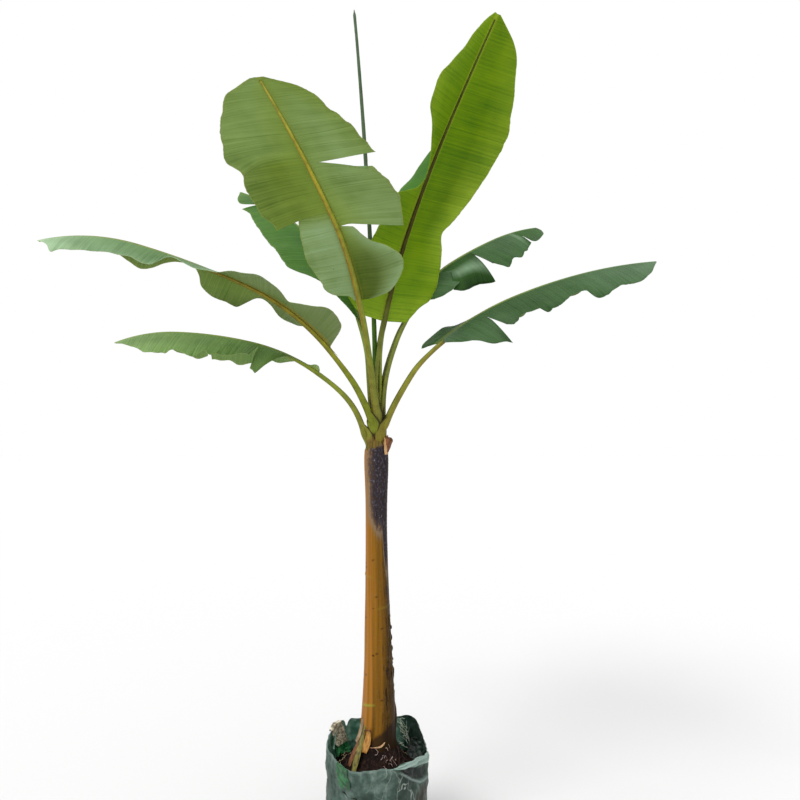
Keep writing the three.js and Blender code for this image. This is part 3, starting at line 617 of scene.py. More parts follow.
def film_creases(tree, spot, below):
    """Pale creases where the folded film has whitened, thickest on the worn side."""
    worn = add(tree, "Attribute", attribute_name="worn")
    bent = add(tree, "TexNoise", {"Vector": spot, "Scale": 14, "Detail": 2})
    bent_more = add(tree, "VectorMath", {0: bent.outputs["Color"], "Scale": .05}, operation="SCALE")
    upright = add(tree, "Mapping", {0: spot, 3: (1.3, 1.3, .6)})
    moved = add(tree, "VectorMath", {0: upright, 1: bent_more}, operation="ADD")
    fold = add(tree, "TexVoronoi", {"Vector": moved, "Scale": 17}, feature="DISTANCE_TO_EDGE")
    crease = add(tree, "MapRange", {0: fold, 1: .003, 2: .020, 3: 1, 4: 0})
    patches = add(tree, "TexNoise", {"Vector": spot, "Scale": 19, "Detail": 2})
    gate = blended(tree, (patches, 1.6), start=worn.outputs["Fac"])
    gate_share = add(tree, "MapRange", {0: gate, 1: 1.36, 2: 1.80, 3: 0, 4: .60})
    share = add(tree, "Math", {0: crease, 1: gate_share}, operation="MULTIPLY")
    return add(tree, "Mix", {"Factor": share, "A": below, "B": srgb("#c3cfc4")}, data_type="RGBA")


def film_skin(name, lining):
    """Polythene film of a nursery bag: dark green, crumpled, dusty, with pale creases and scratches.
    Its inner side is painted paler than the outside, as painted light for the light that comes through."""
    material, tree = skin_tree(name)
    place_in = add(tree, "TexCoord")
    spot = place_in.outputs["Object"]
    tall = add(tree, "Mapping", {0: spot, 3: (1, 1, .45)})
    cloud = add(tree, "TexNoise", {"Vector": tall, "Scale": 11, "Detail": 4, "Roughness": .6})
    dusty = add(tree, "TexNoise", {"Vector": spot, "Scale": 30, "Detail": 5, "Roughness": .65})
    level = add(tree, "SeparateXYZ", {0: spot})
    # Painted light: the film is lighter towards the rim and darker towards the foot
    height_light = add(tree, "MapRange", {0: level.outputs["Z"], 1: .26, 2: .39, 3: -.03, 4: .05})
    tone = add(tree, "Math", {0: blended(tree, (cloud, .6), (dusty, .4)), 1: height_light}, operation="ADD")
    # Lining colours are paler than the outside ones: painted light on the inner side
    colours = ("#2a4a3e", "#5c8a78", "#8fb8a6", "#bcd6c8") if lining else (
        "#0e2019", "#2a4036", "#4a6056", "#7c8f86")
    green = add(tree, "ValToRGB", {0: tone}, stops=list(zip((.36, .46, .55, .66), colours)))
    vivid = marked(tree, green, "bright", cloud, .7, .75, 1.05, .85, "#1f7a44")
    creased = film_creases(tree, spot, vivid)
    dirty = marked(tree, creased, "brown", dusty, 1.2, 1.15, 1.35, .9, "#2e2a1c")
    # Painted highlight on the lip and along the crease under it
    highlight_mark = add(tree, "Attribute", attribute_name="rim")
    highlight_share = add(tree, "Math", {0: highlight_mark.outputs["Fac"], 1: .75}, operation="MULTIPLY")
    highlighted = add(tree, "Mix", {"Factor": highlight_share, "A": dirty, "B": srgb("#9db0aa")}, data_type="RGBA")

    # Painted shade: darker in the hollow under the lip, and inside on the right, where no light comes
    # through
    hollow_shade = add(tree, "Attribute", attribute_name="deep")
    hollow_shade_share = add(tree, "MapRange", {0: hollow_shade.outputs["Fac"], 1: .1, 2: .8, 3: 1, 4: .25})
    gloom = add(tree, "Attribute", attribute_name="gloom")
    inside_shade_share = add(tree, "MapRange", {0: gloom.outputs["Fac"], 1: 0, 2: 1, 3: 1,
                                         4: .14 if lining else .85})
    both_shades = add(tree, "Math", {0: hollow_shade_share, 1: inside_shade_share}, operation="MULTIPLY")
    shadowed = add(tree, "VectorMath", {0: highlighted, "Scale": both_shades}, operation="SCALE")
    relief = add(tree, "Bump", {"Strength": .6, "Distance": .0016, "Height": dusty})
    dull = add(tree, "MapRange", {0: tone, 1: .35, 2: .65, 3: .30, 4: .55})
    glow = add(tree, "VectorMath", {0: srgb("#5c9a80")[:3], "Scale": both_shades}, operation="SCALE")
    return finish_skin(material, tree, shadowed, dull, relief, ior=1.51, shine=.4, through=(.25, glow))


def plain_film(name, dark, light):
    """Crumpled scrap of coloured film, glossy on its folds."""
    material, tree = skin_tree(name)
    place_in = add(tree, "TexCoord")
    cloud = add(tree, "TexNoise", {"Vector": place_in.outputs["Object"], "Scale": 40, "Detail": 4})
    tone = add(tree, "ValToRGB", {0: cloud}, stops=[(.36, dark), (.66, light)])
    relief = add(tree, "Bump", {"Strength": .5, "Distance": .002, "Height": cloud})
    return finish_skin(material, tree, tone, .35, relief, ior=1.51)


def woven_skin():
    """Scrap of woven sack: flat beige tapes over and under each other, a little soiled."""
    material, tree = skin_tree("woven_sack")
    place_in = add(tree, "TexCoord")
    spot = add(tree, "Mapping", {0: place_in.outputs["Object"], 2: (0, 0, .85)})
    across, upward = (add(tree, "TexWave", {"Vector": spot, "Scale": 90, "Distortion": 1.2, "Detail": 1},
                          bands_direction=way) for way in ("X", "Z"))
    tapes = add(tree, "Math", {0: across, 1: upward}, operation="MULTIPLY")
    soiled = add(tree, "TexNoise", {"Vector": spot, "Scale": 38, "Detail": 3})
    tone = add(tree, "ValToRGB", {0: blended(tree, (tapes, .35), (soiled, .8))}, stops=[
        (.30, "#645c44"), (.48, "#aca488"), (.64, "#f4ecd8")])
    relief = add(tree, "Bump", {"Strength": .6, "Distance": .0008, "Height": tapes})
    return finish_skin(material, tree, tone, .6, relief, ior=1.5)


def earth_skin():
    """Moist potting mix: peat and coir in dark crumbs, faintly red."""
    material, tree = skin_tree("potting_mix")
    place_in = add(tree, "TexCoord")
    spot = place_in.outputs["Object"]
    grains = add(tree, "TexNoise", {"Vector": spot, "Scale": 120, "Detail": 6, "Roughness": .7})
    clods = add(tree, "TexNoise", {"Vector": spot, "Scale": 22, "Detail": 3})
    brown = add(tree, "ValToRGB", {0: blended(tree, (grains, .65), (clods, .35))}, stops=[
        (.36, "#0a0706"), (.48, "#1c1310"), (.58, "#33221d"), (.70, "#5c4238")])
    relief = add(tree, "Bump", {"Strength": .9, "Distance": .004, "Height": grains})
    return finish_skin(material, tree, brown, .9, relief, ior=1.4, shine=.2)


def dry_skin(name, dark, light, roughness):
    """Dry plant fibre, such as straw, dead sheath or coir: streaks of 8 mm by 50 mm along its length."""
    material, tree = skin_tree(name)
    place_in = add(tree, "TexCoord")
    spot = place_in.outputs["Object"]
    long_run = add(tree, "Mapping", {0: spot, 3: (1 / .008, 1 / .008, 1 / .050)})
    streaks = add(tree, "TexNoise", {"Vector": long_run, "Scale": 1, "Detail": 4, "Roughness": .6})
    tone = add(tree, "ValToRGB", {0: streaks}, stops=[(.36, dark), (.64, light)])
    relief = add(tree, "Bump", {"Strength": .4, "Distance": .0005, "Height": streaks})
    return finish_skin(material, tree, tone, roughness, relief)


def floor_skin():
    """Matt studio floor."""
    material, tree = skin_tree("pale_floor")
    surface = add(tree, "BsdfPrincipled", {
        "Base Color": (.75, .75, .75, 1), "Roughness": .9, "Specular IOR Level": 0})
    add(tree, "OutputMaterial", {"Surface": surface})
    return material


# ---- pseudostem ---------------------------------------------------------------------------------

# Edges of the leaf sheaths that wrap the stem: bearing at the foot, turn per metre of height, step
SHEATH_EDGES = ((256, -14, .0024), (305, 9, .0016), (12, -7, .0026), (78, 12, .0018), (160, -9, .0024))
# Scars of sheaths that dropped off: bearing, height, spread in degrees, tilt in metres, greenness
SCARS = ((220, .545, 38, .010, 1), (20, .700, 70, -.010, .25), (120, .610, 60, .012, .3),
         (295, .905, 40, .006, .2), (200, 1.020, 60, -.006, .25), (80, 1.150, 70, .010, .2))
# How warm the sheaths' brown is round the stem: orange on the left, dark brown on the right of the front;
# partly their own colour, partly painted light on the left and painted shade on the right
WARMTH_AND_LIGHT_AT = (0, 40, 100, 150, 200, 240, 250, 275, 288, 300, 330, 360)
WARMTH_AND_LIGHT = (.12, .16, .34, .50, .58, .54, .40, .36, .30, .22, .12, .12)
# Small dark dashes: bearing, height
DASHES = ((264, .946), (262, .739), (198, .862), (209, .653), (279, .572), (301, .506), (203, 1.05),
          (250, 1.08), (285, .83), (60, .90), (130, .80), (95, 1.05), (160, .62), (330, .98), (20, 1.12),
          (110, 1.22))
# Weathered band: bearing of its middle, half its breadth in degrees, its lower and upper end
BURNT = dict(bearing=301, breadth=80, low=1.225, high=(1.488, 1.520))
DEAD_END = 1.492              # height where the dry outer sheaths end


def stem_radius(height):
    """Mean radius of the pseudostem."""
    return flowing(STEM_HEIGHTS, STEM_RADII, height)


def stem_axis(height):
    """Middle of the pseudostem, which leans and bends a little."""
    return Vector((flowing(STEM_HEIGHTS, STEM_OFFSETS, height), 0, height))


def sheath_step(bearing, height):
    """Thickness of the sheath that lies outermost there: full at its edge, fading round the stem."""
    edges = sorted(((start + turn * height) % 360, step) for start, turn, step in SHEATH_EDGES)
    for k in range(len(edges)):
        start, step = edges[k]
        width = (edges[(k + 1) % len(edges)][0] - start) % 360
        past = (bearing - start) % 360
        if past < width:
            return step * (1 - past / width)
    return 0.0


def burnt_share(bearing, height):
    """Grey weathered band under the crown, on the front and right: 0 outside, 1 well inside."""
    ragged = .7 * noise.noise(Vector((bearing / 24, height * 9, 3))) + .35 * noise.noise(
        Vector((bearing / 7, height * 26, 7)))
    off = abs(wrapped(bearing - BURNT["bearing"])) / BURNT["breadth"]
    rightward = wrapped(bearing - 285)
    low = BURNT["low"] - .050 * smooth(-52, -10, rightward) - .14 * smooth(18, 34, rightward)
    up = smooth(low - .05, low + .07, height + .035 * ragged) * (1 - smooth(*BURNT["high"], height))
    return up * (1 - smooth(.42, 1.42, off + .22 * ragged))


def dead_layer(bearing, height):
    """1 where the dry outer sheaths still wrap the stem, 0 above their ragged upper end."""
    around = math.radians(bearing)
    ragged = .010 * noise.noise(Vector((3 * math.cos(around), 3 * math.sin(around), 9)))
    ragged += .006 * noise.noise(Vector((14 * math.cos(around), 14 * math.sin(around), 4)))
    end = DEAD_END + ragged + .012 * math.cos(around - math.radians(340))
    return 1 - smooth(end, end + .005, height)


def stem_point(bearing, height, lift):
    """Point on the stem's surface, with its sheaths, ribs and swellings."""
    around = math.radians(bearing)
    oval = 1 + .025 * math.cos(2 * around + height / .3)
    spot = Vector((2.2 * math.cos(around), 2.2 * math.sin(around), height * 5))
    swell = .0018 * noise.noise(spot)
    ribs = .0007 * noise.noise(Vector((9 * math.cos(around), 9 * math.sin(around), height * 1.6)))
    layers = sheath_step(bearing, height) - .001 - .003 * (1 - dead_layer(bearing, height))
    radius = stem_radius(height) * oval + swell + ribs + layers + lift
    return stem_axis(height) + heading(bearing) * radius


def unroll(bm, layer, place_uv):
    """Gives each corner of a tube its UV from its angle in radians and its height; one seam at +X."""
    run = bm.loops.layers.uv.new(layer)
    for face in bm.faces:
        for loop in face.loops:
            angle = math.atan2(loop.vert.co.y, loop.vert.co.x) % (2 * math.pi)
            if face.calc_center_median().y < 0 and angle < .01:
                angle = 2 * math.pi
            loop[run].uv = place_uv(angle, loop.vert.co.z)


def scar_at(bearing, height):
    """Greenness and raised ridge of the leaf scars."""
    scar, ridge = 0.0, 0.0
    for at, level, spread, tilt, green in SCARS:
        off = wrapped(bearing - at) / spread
        if abs(off) < 1:
            line = height - level - tilt * off
            scar = max(scar, green * (1 - off * off) * math.exp(-(line / .0042) ** 2))
            ridge += .0016 * (1 - off * off) * math.exp(-(line / .005) ** 2)
    return scar, ridge


def peeling_at(bearing, height):
    """Dark flakes that peel off on the right side, low on the stem."""
    flakes = smooth(.1, .6, noise.noise(Vector((bearing / 12, height * 34, 12))))
    flakes *= max(0, math.cos(math.radians(bearing - 352))) ** 3 * smooth(.55, .62, height)
    return flakes * (1 - smooth(.82, .95, height))


def pseudostem(skin):
    """Stem of lapped leaf sheaths, which carries its wear, and its painted light and shade, as attributes.
    """
    low, high = .325, STEM_HEIGHTS[-1]
    bm = tube(120, 380)
    marks = marks_on(bm, "warmth", "burnt", "scar", "damp", "fresh", "dash", "seam")

    def where(bearing, share, v):
        height = low + (high - low) * share
        burnt = burnt_share(bearing, height)
        rough = noise.noise(Vector((bearing / 3.2, height * 160, 1)))
        scar, ridge = scar_at(bearing, height)
        v[marks["dash"]] = max(math.exp(-((wrapped(bearing - at) - (height - level) * 900) / 5) ** 2
                                        - ((height - level) / .0030) ** 2) for at, level in DASHES)
        seams = [wrapped(bearing - start - turn * height) for start, turn, _ in SHEATH_EDGES]
        v[marks["seam"]] = max(math.exp(-((off + 1.5) / 2.2) ** 2) for off in seams)
        vein = .20 * noise.noise(Vector((bearing / 13, height * 1.5, 5)))
        age = .07 * (1 - smooth(.60, 1.05, height)) * smooth(-30, 0, wrapped(bearing - 275))
        # Warmth round the stem: partly the sheaths' own colour, partly painted light on the left and shade
        # on the right
        v[marks["warmth"]] = float(np.interp(bearing, WARMTH_AND_LIGHT_AT, WARMTH_AND_LIGHT)) + vein - age
        v[marks["burnt"]] = burnt
        v[marks["scar"]] = scar
        v[marks["fresh"]] = 1 - dead_layer(bearing, height)
        stain = .402 + .085 * (.5 + .5 * math.cos(math.radians(bearing - 350))) ** 1.3
        peeling = peeling_at(bearing, height)
        v[marks["damp"]] = max(1 - smooth(stain - .020, stain + .030, height), peeling)
        return stem_point(bearing, height, .0014 * rough * burnt + ridge + .0060 * peeling)

    unroll(bm, "sheath", lambda angle, share: (angle * .05, share * (high - low)))
    place(bm, where)
    return piece("pseudostem_sheaths", bm, [skin], "stem", ["pseudostem"])


def torn_sheath(name, route, width, skin, curl):
    """Strip of torn sheath on the stem, along its route."""
    bm = sheet(30, 6)
    shares = [i / (len(route) - 1) for i in range(len(route))]
    seed = sum(map(ord, name))
    for v in bm.verts:
        share, side = v.co.x + .5, v.co.y * 2
        bearing, height, lift, breadth = (flowing(shares, [p[k] for p in route], share) for k in range(4))
        ragged = 1 + .22 * noise.noise(Vector((share * 9, seed, side)))
        out = side * width * breadth * ragged
        turn = math.degrees(out / stem_radius(height))
        wave = .0012 * noise.noise(Vector((share * 6, side * 2, seed)))
        v.co = stem_point(bearing + turn, height, lift + curl * side * side * breadth + wave)
    return piece(name, bm, [skin], "stem", film=FILM["strip"])


def cut_stub(skin, flesh):
    """Stub of a cut leaf: a rolled sheath, broken off ragged, hollow inside."""
    foot = stem_axis(STUB["foot"]) + heading(STUB["bearing"]) * STUB["off"]
    along = heading(STUB["bearing"], STUB["rise"])
    side = along.cross(UP).normalized()
    out = along.cross(side)
    bm = tube(40, 26, caps=False)
    rim_share = .62               # share of the tube's height that makes the outer side
    narrow, wide = STUB["radii"]

    def where(angle, share, v):
        # Up the outside to the rim, then down inside to a closed floor
        outside = share < rim_share
        up = share / rim_share if outside else 1 - (share - rim_share) / (1 - rim_share) * .55
        a = math.radians(angle)
        spot = Vector((math.cos(a) * 2, math.sin(a) * 2, 0))
        rim = STUB["length"] * (.86 + .14 * noise.noise(spot + UP * 4) + .08 * math.cos(a + 2))
        radius = narrow + (wide - narrow) * up + .0018 * noise.noise(spot + UP * up * 3)
        if not outside:
            radius = max(0, radius - .0035) * min(1, (1 - share) / .04)
        return foot + along * rim * up + (side * math.cos(a) + out * math.sin(a)) * radius

    place(bm, where)
    bmesh.ops.remove_doubles(bm, verts=bm.verts, dist=1e-5)
    for face in bm.faces:
        middle = face.calc_center_median() - foot
        off_axis = (middle - along * middle.dot(along)).length
        face.material_index = 1 if off_axis < .0118 and middle.dot(along) > .02 else 0
    bmesh.ops.holes_fill(bm, edges=[e for e in bm.edges if e.is_boundary])
    return piece("cut_leaf_stub", bm, [skin, flesh], "cut_end", ["cut_stub"])


def rolled_spear(skin):
    """Young leaf, rolled up tight: its outer margin winds up the roll as a low step."""
    bm = tube(36, 260)
    low, high = SPEAR["low"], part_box("spear")[1].z
    foot, rise, (lean_x, lean_y), (thick, thin) = (SPEAR[key] for key in ("foot", "rise", "lean", "radii"))
    unroll(bm, "stalk", lambda angle, share: (share, angle / (2 * math.pi)))

    def where(angle, share, v):
        up = (low + (high - low) * share - foot) / rise
        lean = max(0, up) ** 1.6
        centre = Vector((-.002 + lean_x * lean, .006 + lean_y * lean, foot + rise * up))
        radius = thick + (thin - thick) * up
        radius *= 1 - smooth(.985, 1, share) * .75
        past = ((angle - SPEAR["wound"] * share) % 360) / 360
        radius *= .84 + .24 * past + .02 * math.sin(share * 90)
        return centre + heading(angle) * radius

    place(bm, where)
    return piece("rolled_spear", bm, [skin], "spear", ["spear"])


# ---- petioles and blades ------------------------------------------------------------------------


def midline(leaf):
    """Frames along a leaf's midline: a function of the distance from its foot, which gives the point, and
    the directions along, left and up."""
    length = leaf["petiole"] + leaf["blade"]
    neck = leaf["petiole"] / length
    rise_at = (0, neck / 2, neck, neck + .35 * (1 - neck), neck + .7 * (1 - neck), 1)
    steps = 320
    distance, bearing, height = leaf["foot"]
    point = heading(bearing) * distance + UP * height
    frames = []
    for i in range(steps + 1):
        share = i / steps
        bearing = leaf["bearing"] + leaf["sweep"] * max(0, (share - neck) / (1 - neck))
        along = heading(bearing, float(np.interp(share, rise_at, leaf["rise"])))
        left = heading(bearing + 90)
        if frames:
            point = point + (along + frames[-1][1]) * (length / steps / 2)
        frames.append((point, along, left, along.cross(left)))
    pushed = Vector((*leaf.get("aside", (0, 0)), 0))

    def at(distance_along):
        where = min(max(distance_along / length * steps, 0), steps - 1e-6)
        low = int(where)
        point, *turned = [a.lerp(b, where - low) for a, b in zip(frames[low], frames[low + 1])]
        return point + pushed * (1 - smooth(0, .24, distance_along)), *turned

    return at


def stalk_size(leaf, distance):
    """Half breadth and half thickness of the petiole, and of the midrib past the neck."""
    girth = leaf.get("girth", 1)
    if distance <= leaf["petiole"]:
        share = (max(0, distance) / leaf["petiole"]) ** .6
        girth += (1 - girth) * smooth(.6, 1, distance / leaf["petiole"])
        return [(a + (b - a) * share) * girth for a, b in zip(PETIOLE["foot"], PETIOLE["neck"])]
    share = ((distance - leaf["petiole"]) / leaf["blade"]) ** .8
    return [a + (b - a) * share for a, b in zip(PETIOLE["neck"], PETIOLE["tip"])]


def stalk(name, leaf, skin):
    """Petiole and midrib in one: a grooved stalk that narrows to the tip and runs under the blade."""
    at = midline(leaf)
    length = leaf["petiole"] + leaf["blade"] * .985
    neck = leaf["petiole"]
    sunk = .012                   # length of its foot inside the stem
    bm = tube(24, round(length / .008))
    run = bm.loops.layers.uv.new("stalk")
    turned = marks_on(bm, "turned")["turned"]
    for face in bm.faces:
        for loop in face.loops:
            lowness = .5 - .5 * loop.vert.co.y
            loop[run].uv = (min(1, max(0, loop.vert.co.z)), lowness)
    for v in bm.verts:
        v[turned] = .5 - .5 * v.co.x

    def where(angle, share, v):
        distance = -sunk + (length + sunk) * share
        point, along, left, up = at(distance)
        breadth, thick = stalk_size(leaf, distance)
        joined = smooth(neck - .17, neck + .01, distance)
        drop = .72 * thick * joined
        across, high = math.cos(math.radians(angle)), math.sin(math.radians(angle))
        rise = high * thick
        if high > 0:
            groove = (1 - joined) * .55 * thick * max(0, 1 - (across / .72) ** 2)
            rise = rise * (1 - .30 * joined) - groove
        else:
            rise *= .15 + .85 * smooth(-.014, .040, distance)
        if distance < 0:
            point = point + along * distance
        return point + left * breadth * across + up * (rise - drop)

    place(bm, where)
    return piece("stalk_" + name, bm, [skin], "petiole", ["petiole_" + name])


def clasp(name, leaf, bottom, spread, twist, taper, layer, dead, skin):
    """Foot of a petiole: it widens downwards and laps round the stem as a sheath, layer upon layer.
    Downwards its middle turns round the stem by a twist; a taper of 1 ends it in a point."""
    at = midline(leaf)
    foot = leaf["foot"][2]
    top = foot + .095
    bm = sheet(60, 34)
    run = bm.loops.layers.uv.new("stalk")
    marks = marks_on(bm, "crevice", "turned", "dead")
    for face in bm.faces:
        for loop in face.loops:
            loop[run].uv = (.07 * (loop.vert.co.x + .5), 1 - abs(loop.vert.co.y))
    for v in bm.verts:
        share, side = v.co.x + .5, v.co.y * 2
        height = bottom + (top - bottom) * share + .012 * side * side * (1 - share)
        joined = smooth(.34, .95, share)
        wide = 1 - taper * (1 - smooth(-.02, .46, share))
        turned = leaf["bearing"] + twist * (1 - share ** 1.5) + spread * side * wide * (1 - .45 * share)
        wave = .0018 * noise.noise(Vector((share * 5, side * 2, foot * 50)))
        lift = .0008 + .0022 * layer + wave - (.0055 + .0022 * layer) * (1 - smooth(0, .20, share))
        lift += .0022 * smooth(.75, 1, abs(side)) * smooth(.15, .5, share)
        on_stem = stem_point(turned, height, lift - .003 * dead_layer(turned, height))
        point, along, left, up = at(max(0, height - foot))
        below = max(0, foot - height)
        turn = math.radians(-90 + 100 * side)
        proud = .0012 - .0040 * smooth(.55, 1, share)
        breadth, thick = stalk_size(leaf, height - foot)
        on_stalk = (point - along * below + left * (breadth + proud) * math.cos(turn)
                    + up * (thick + proud) * math.sin(turn))
        v.co = on_stem.lerp(on_stalk, joined)
        v[marks["turned"]] = .5 - .5 * side
        # Painted shade along the clasp's side edges and at its foot
        v[marks["crevice"]] = max(smooth(.62, 1, abs(side)) * (1 - smooth(.6, .95, share)),
                                  .45 * (1 - smooth(.02, .14, share)))
        v[marks["dead"]] = dead * (1 - smooth(.05, .40, share - .06 * side * side))
    return piece("clasp_" + name, bm, [skin], "petiole", film=FILM["clasp"])


def vein_columns(columns, rng):
    """Strength of the vein on each column: veins come every third to fifth column."""
    strengths = [0.0] * (columns + 1)
    column = 2
    while column < columns:
        strengths[column] = rng.uniform(.55, 1)
        column += rng.choice((3, 4, 4, 5))
    return strengths


def reach_of(part, share, passed):
    """Reach of a half at a share of its length, on the lobe past so many tears."""
    lobe = part["lobes"][passed if len(part["lobes"]) > 1 else 0]
    return flowing([p[0] for p in lobe], [p[1] for p in lobe], share)


def toned(table, share, outness):
    """Value of a table of wax and painted highlight, or of painted shade, between its rows, and between
    rib, middle and margin.
    """
    places = [row[0] for row in table]
    at = [float(np.interp(share, places, [row[k] for row in table])) for k in (1, 2, 3)]
    return float(np.interp(outness, (0, .5, 1), at))


def grid_spot(v, columns):
    """Column and row of a point of the blade's grid; the rib is row 0, the left half above it."""
    return round((v.co.x + .5) * columns), round(v.co.y * 2 * ROWS)


def slit(bm, halves, columns):
    """Slits the blade along a column at each tear, from the tear's end out to the margin."""
    torn = []
    for edge in bm.edges:
        (c0, r0), (c1, r1) = (grid_spot(v, columns) for v in edge.verts)
        for side, part in halves.items():
            for place_of, kept, *_ in part["tears"]:
                if c0 == c1 == round(place_of * columns) and min(r0 * side, r1 * side) >= kept * ROWS:
                    torn.append(edge)
    bmesh.ops.split_edges(bm, edges=torn)


def laid_out(bm, columns):
    """Column and row of each point of the grid, and whether it lies on the tip's side of a slit."""
    layout = {}
    for v in bm.verts:
        middle = sum(f.calc_center_median().x for f in v.link_faces) / len(v.link_faces)
        layout[v] = (*grid_spot(v, columns), middle > v.co.x + 1e-9)
    return layout


def row_out(row, rib, reach):
    """Distance of a row from the midline: the first rows share the midrib's half, the others the rest."""
    if row <= RIB_ROWS:
        return row * rib / RIB_ROWS
    return rib + (reach - rib) * (row - RIB_ROWS) / (ROWS - RIB_ROWS)


def torn_apart(part, column, columns, tipward):
    """At a column: how many tears lie before it, its pushes along, and the extra droop of its lobe."""
    whole, swing = part["base"]
    passed, push, lobe = 0, [(whole, swing * math.exp(-column * COLUMN / BASE_FADE))], 0.0
    for place_of, kept, push_before, push_after, before, after in part["tears"]:
        away = column - round(place_of * columns)
        past = away > 0 or (away == 0 and tipward)
        passed += past
        far = abs(away) * COLUMN
        push.append((kept, (push_after if past else push_before) * math.exp(-far / PUSH_FADE)))
        lobe += (after if past else before) * math.exp(-far / LOBE_FADE)
    return passed, push, lobe


def way_out(part, share, outness, reach, out, extra):
    """Follows a half out from the rib: its way across and down, and its hang there in degrees."""
    droop = flowing(DROOP_AT, part["droop"], share)
    across, down, hang, steps = 0.0, 0.0, 0.0, 8
    for i in range(steps):
        travelled = (i + .5) / steps * outness
        hang = droop + part["curl"] * travelled * reach / CURL_REACH
        hang += extra * travelled ** 1.3
        for place_of, width, start, degrees in part["bends"]:
            window = max(0, 1 - ((share - place_of) / width) ** 2) ** 1.5
            hang += degrees * window * smooth(start, start + .25, travelled)
        across += math.cos(math.radians(hang)) * out / steps
        down += math.sin(math.radians(hang)) * out / steps
    return across, down, hang


def blade(name, leaf, skins):
    """Thin blade with pleats along its veins, waves towards its margin, and lobes between its tears."""
    rng = random.Random("blade " + name)
    at = midline(leaf)
    length = leaf["blade"]
    columns = round(length / COLUMN)
    veins = vein_columns(columns, rng)
    halves = {1: leaf["left"], -1: leaf["right"]}
    phases = {side: (rng.uniform(0, 6), rng.uniform(0, 6)) for side in halves}
    places = [at(leaf["petiole"] + k / columns * length) for k in range(columns + 1)]
    ribs = [stalk_size(leaf, leaf["petiole"] + k / columns * length)[0] for k in range(columns + 1)]

    bm = sheet(columns, 2 * ROWS)
    slit(bm, halves, columns)
    marks = marks_on(bm, "vein", "margin", "bloom", "shade", "beside")
    run = bm.loops.layers.uv.new("blade")
    spots = {}
    for v, (column, row, tipward) in laid_out(bm, columns).items():
        share, side = column / columns, 1 if row >= 0 else -1
        part = halves[side]
        phase_a, phase_b = phases[side]
        passed, push, lobe = torn_apart(part, column, columns, tipward)
        ragged = 1 + .014 * noise.noise(Vector((share * 26, side * 3, phase_a)))
        ragged += .008 * noise.noise(Vector((share * 90, side * 3, phase_b)))
        reach = max(.003, reach_of(part, share, passed) * ragged)
        rib = min(ribs[column], reach * .3)
        out = row_out(abs(row), rib, reach)
        outness = out / reach
        shift = sum(size * max(0, (outness - kept) / (1 - kept)) for kept, size in push)
        rolling = part["wave"] * 9 * (math.sin(share * length / WAVES[0] * 6.28 + phase_a)
                                      + .6 * math.sin(share * length / WAVES[1] * 6.28 + phase_b))
        across, down, hang = way_out(part, share, outness, reach, out, rolling + lobe)
        point, along, left, up = places[column]
        level = math.cos(VEIN_SLANT)
        tilt = math.radians(hang)
        upward = (left * side * math.sin(tilt) + up * math.cos(tilt)).normalized()
        pleat = .00050 * (veins[column] - .4) * smooth(.04, .2, outness)
        buckle = .0022 * part["wave"] * noise.noise(Vector((share * 30, outness * 3 + side * 7, phase_a)))
        groove = -.0016 * max(0, 1 - out / max(rib, 1e-5)) * (rib / .009)
        v.co = (point + left * side * across * level - up * down * level
                + along * (math.sin(VEIN_SLANT) * out + shift)
                + upward * (pleat + groove + buckle * smooth(0, .3, outness)))
        v[marks["vein"]] = veins[column]
        v[marks["margin"]] = reach - out
        v[marks["beside"]] = max(0, out - rib)
        v[marks["bloom"]] = toned(part["bloom"], share, outness)
        v[marks["shade"]] = toned(part["shade"], share, outness)
        spots[v] = (share * length, side * out)
    for face in bm.faces:
        for loop in face.loops:
            loop[run].uv = spots[loop.vert]
    return piece("blade_" + name, bm, skins, "leaf", ["leaf_" + name], film=FILM["blade"])


# ---- grow bag, soil and litter ------------------------------------------------------------------


def bag_radius(bearing, height):
    """Radius of the bag's wall: soft upright folds, and crumples in all directions."""
    around = math.radians(bearing)
    share = smooth(0, BAG["height"], height)
    folds = sum(depth * math.sin(count * around + phase + turn * share)
                for count, depth, phase, turn in BAG_FOLDS)
    return BAG["radius"] + share * folds


def crumple(bearing, height):
    """Crumples of the film: flat facets between sharp creases."""
    spot = heading(bearing) * BAG["radius"] + UP * height
    broad = noise.turbulence(spot * 9, 3, True)
    sharp = noise.turbulence(spot * 26 + UP * 5, 3, True)
    lean = noise.turbulence(Vector((spot.x * 14, spot.y * 14, spot.z * 3 + 2)), 2, True)
    strength = 1.35 * smooth(0, .05, height)
    return strength * (.0085 * (.55 - broad) + .0040 * (.5 - sharp) + .0050 * (.5 - lean))


def rim_height(bearing):
    """Height of the bag's rim, a little ragged, with a notch at the back."""
    a = math.radians(bearing)
    ragged = .0035 * noise.noise(Vector((math.cos(a) * 7, math.sin(a) * 7, 2)))
    notch = -.026 * math.exp(-(wrapped(bearing - 127) / 2.4) ** 2)
    return flowing(RIM_AT, RIM, bearing % 360) + ragged + notch


def pocket(bearing, height):
    """Fold of the film under the lip: a hollow above (negative) and a bulging crease below (positive)."""
    crest = float(np.interp(wrapped(bearing), (-66, -50, -34, -18), (.368, .330, .300, .300)))
    window = smooth(-72, -60, wrapped(bearing)) * (1 - smooth(-22, -12, wrapped(bearing)))
    above = (height - crest) / .024
    return window * (math.exp(-((height - crest) / .006) ** 2) - math.exp(-(above - 1) ** 2) * 1.3)


def folded_out(bearing):
    """Where the rim is folded out at the right of the front: 0 outside, 1 well inside."""
    return smooth(-84, -62, wrapped(bearing)) * (1 - smooth(-26, -10, wrapped(bearing)))


def near(bearing, middle, width, power=2):
    """1 at a middle bearing, fading to both sides over a width in degrees."""
    return math.exp(-(wrapped(bearing - middle) / width) ** power)


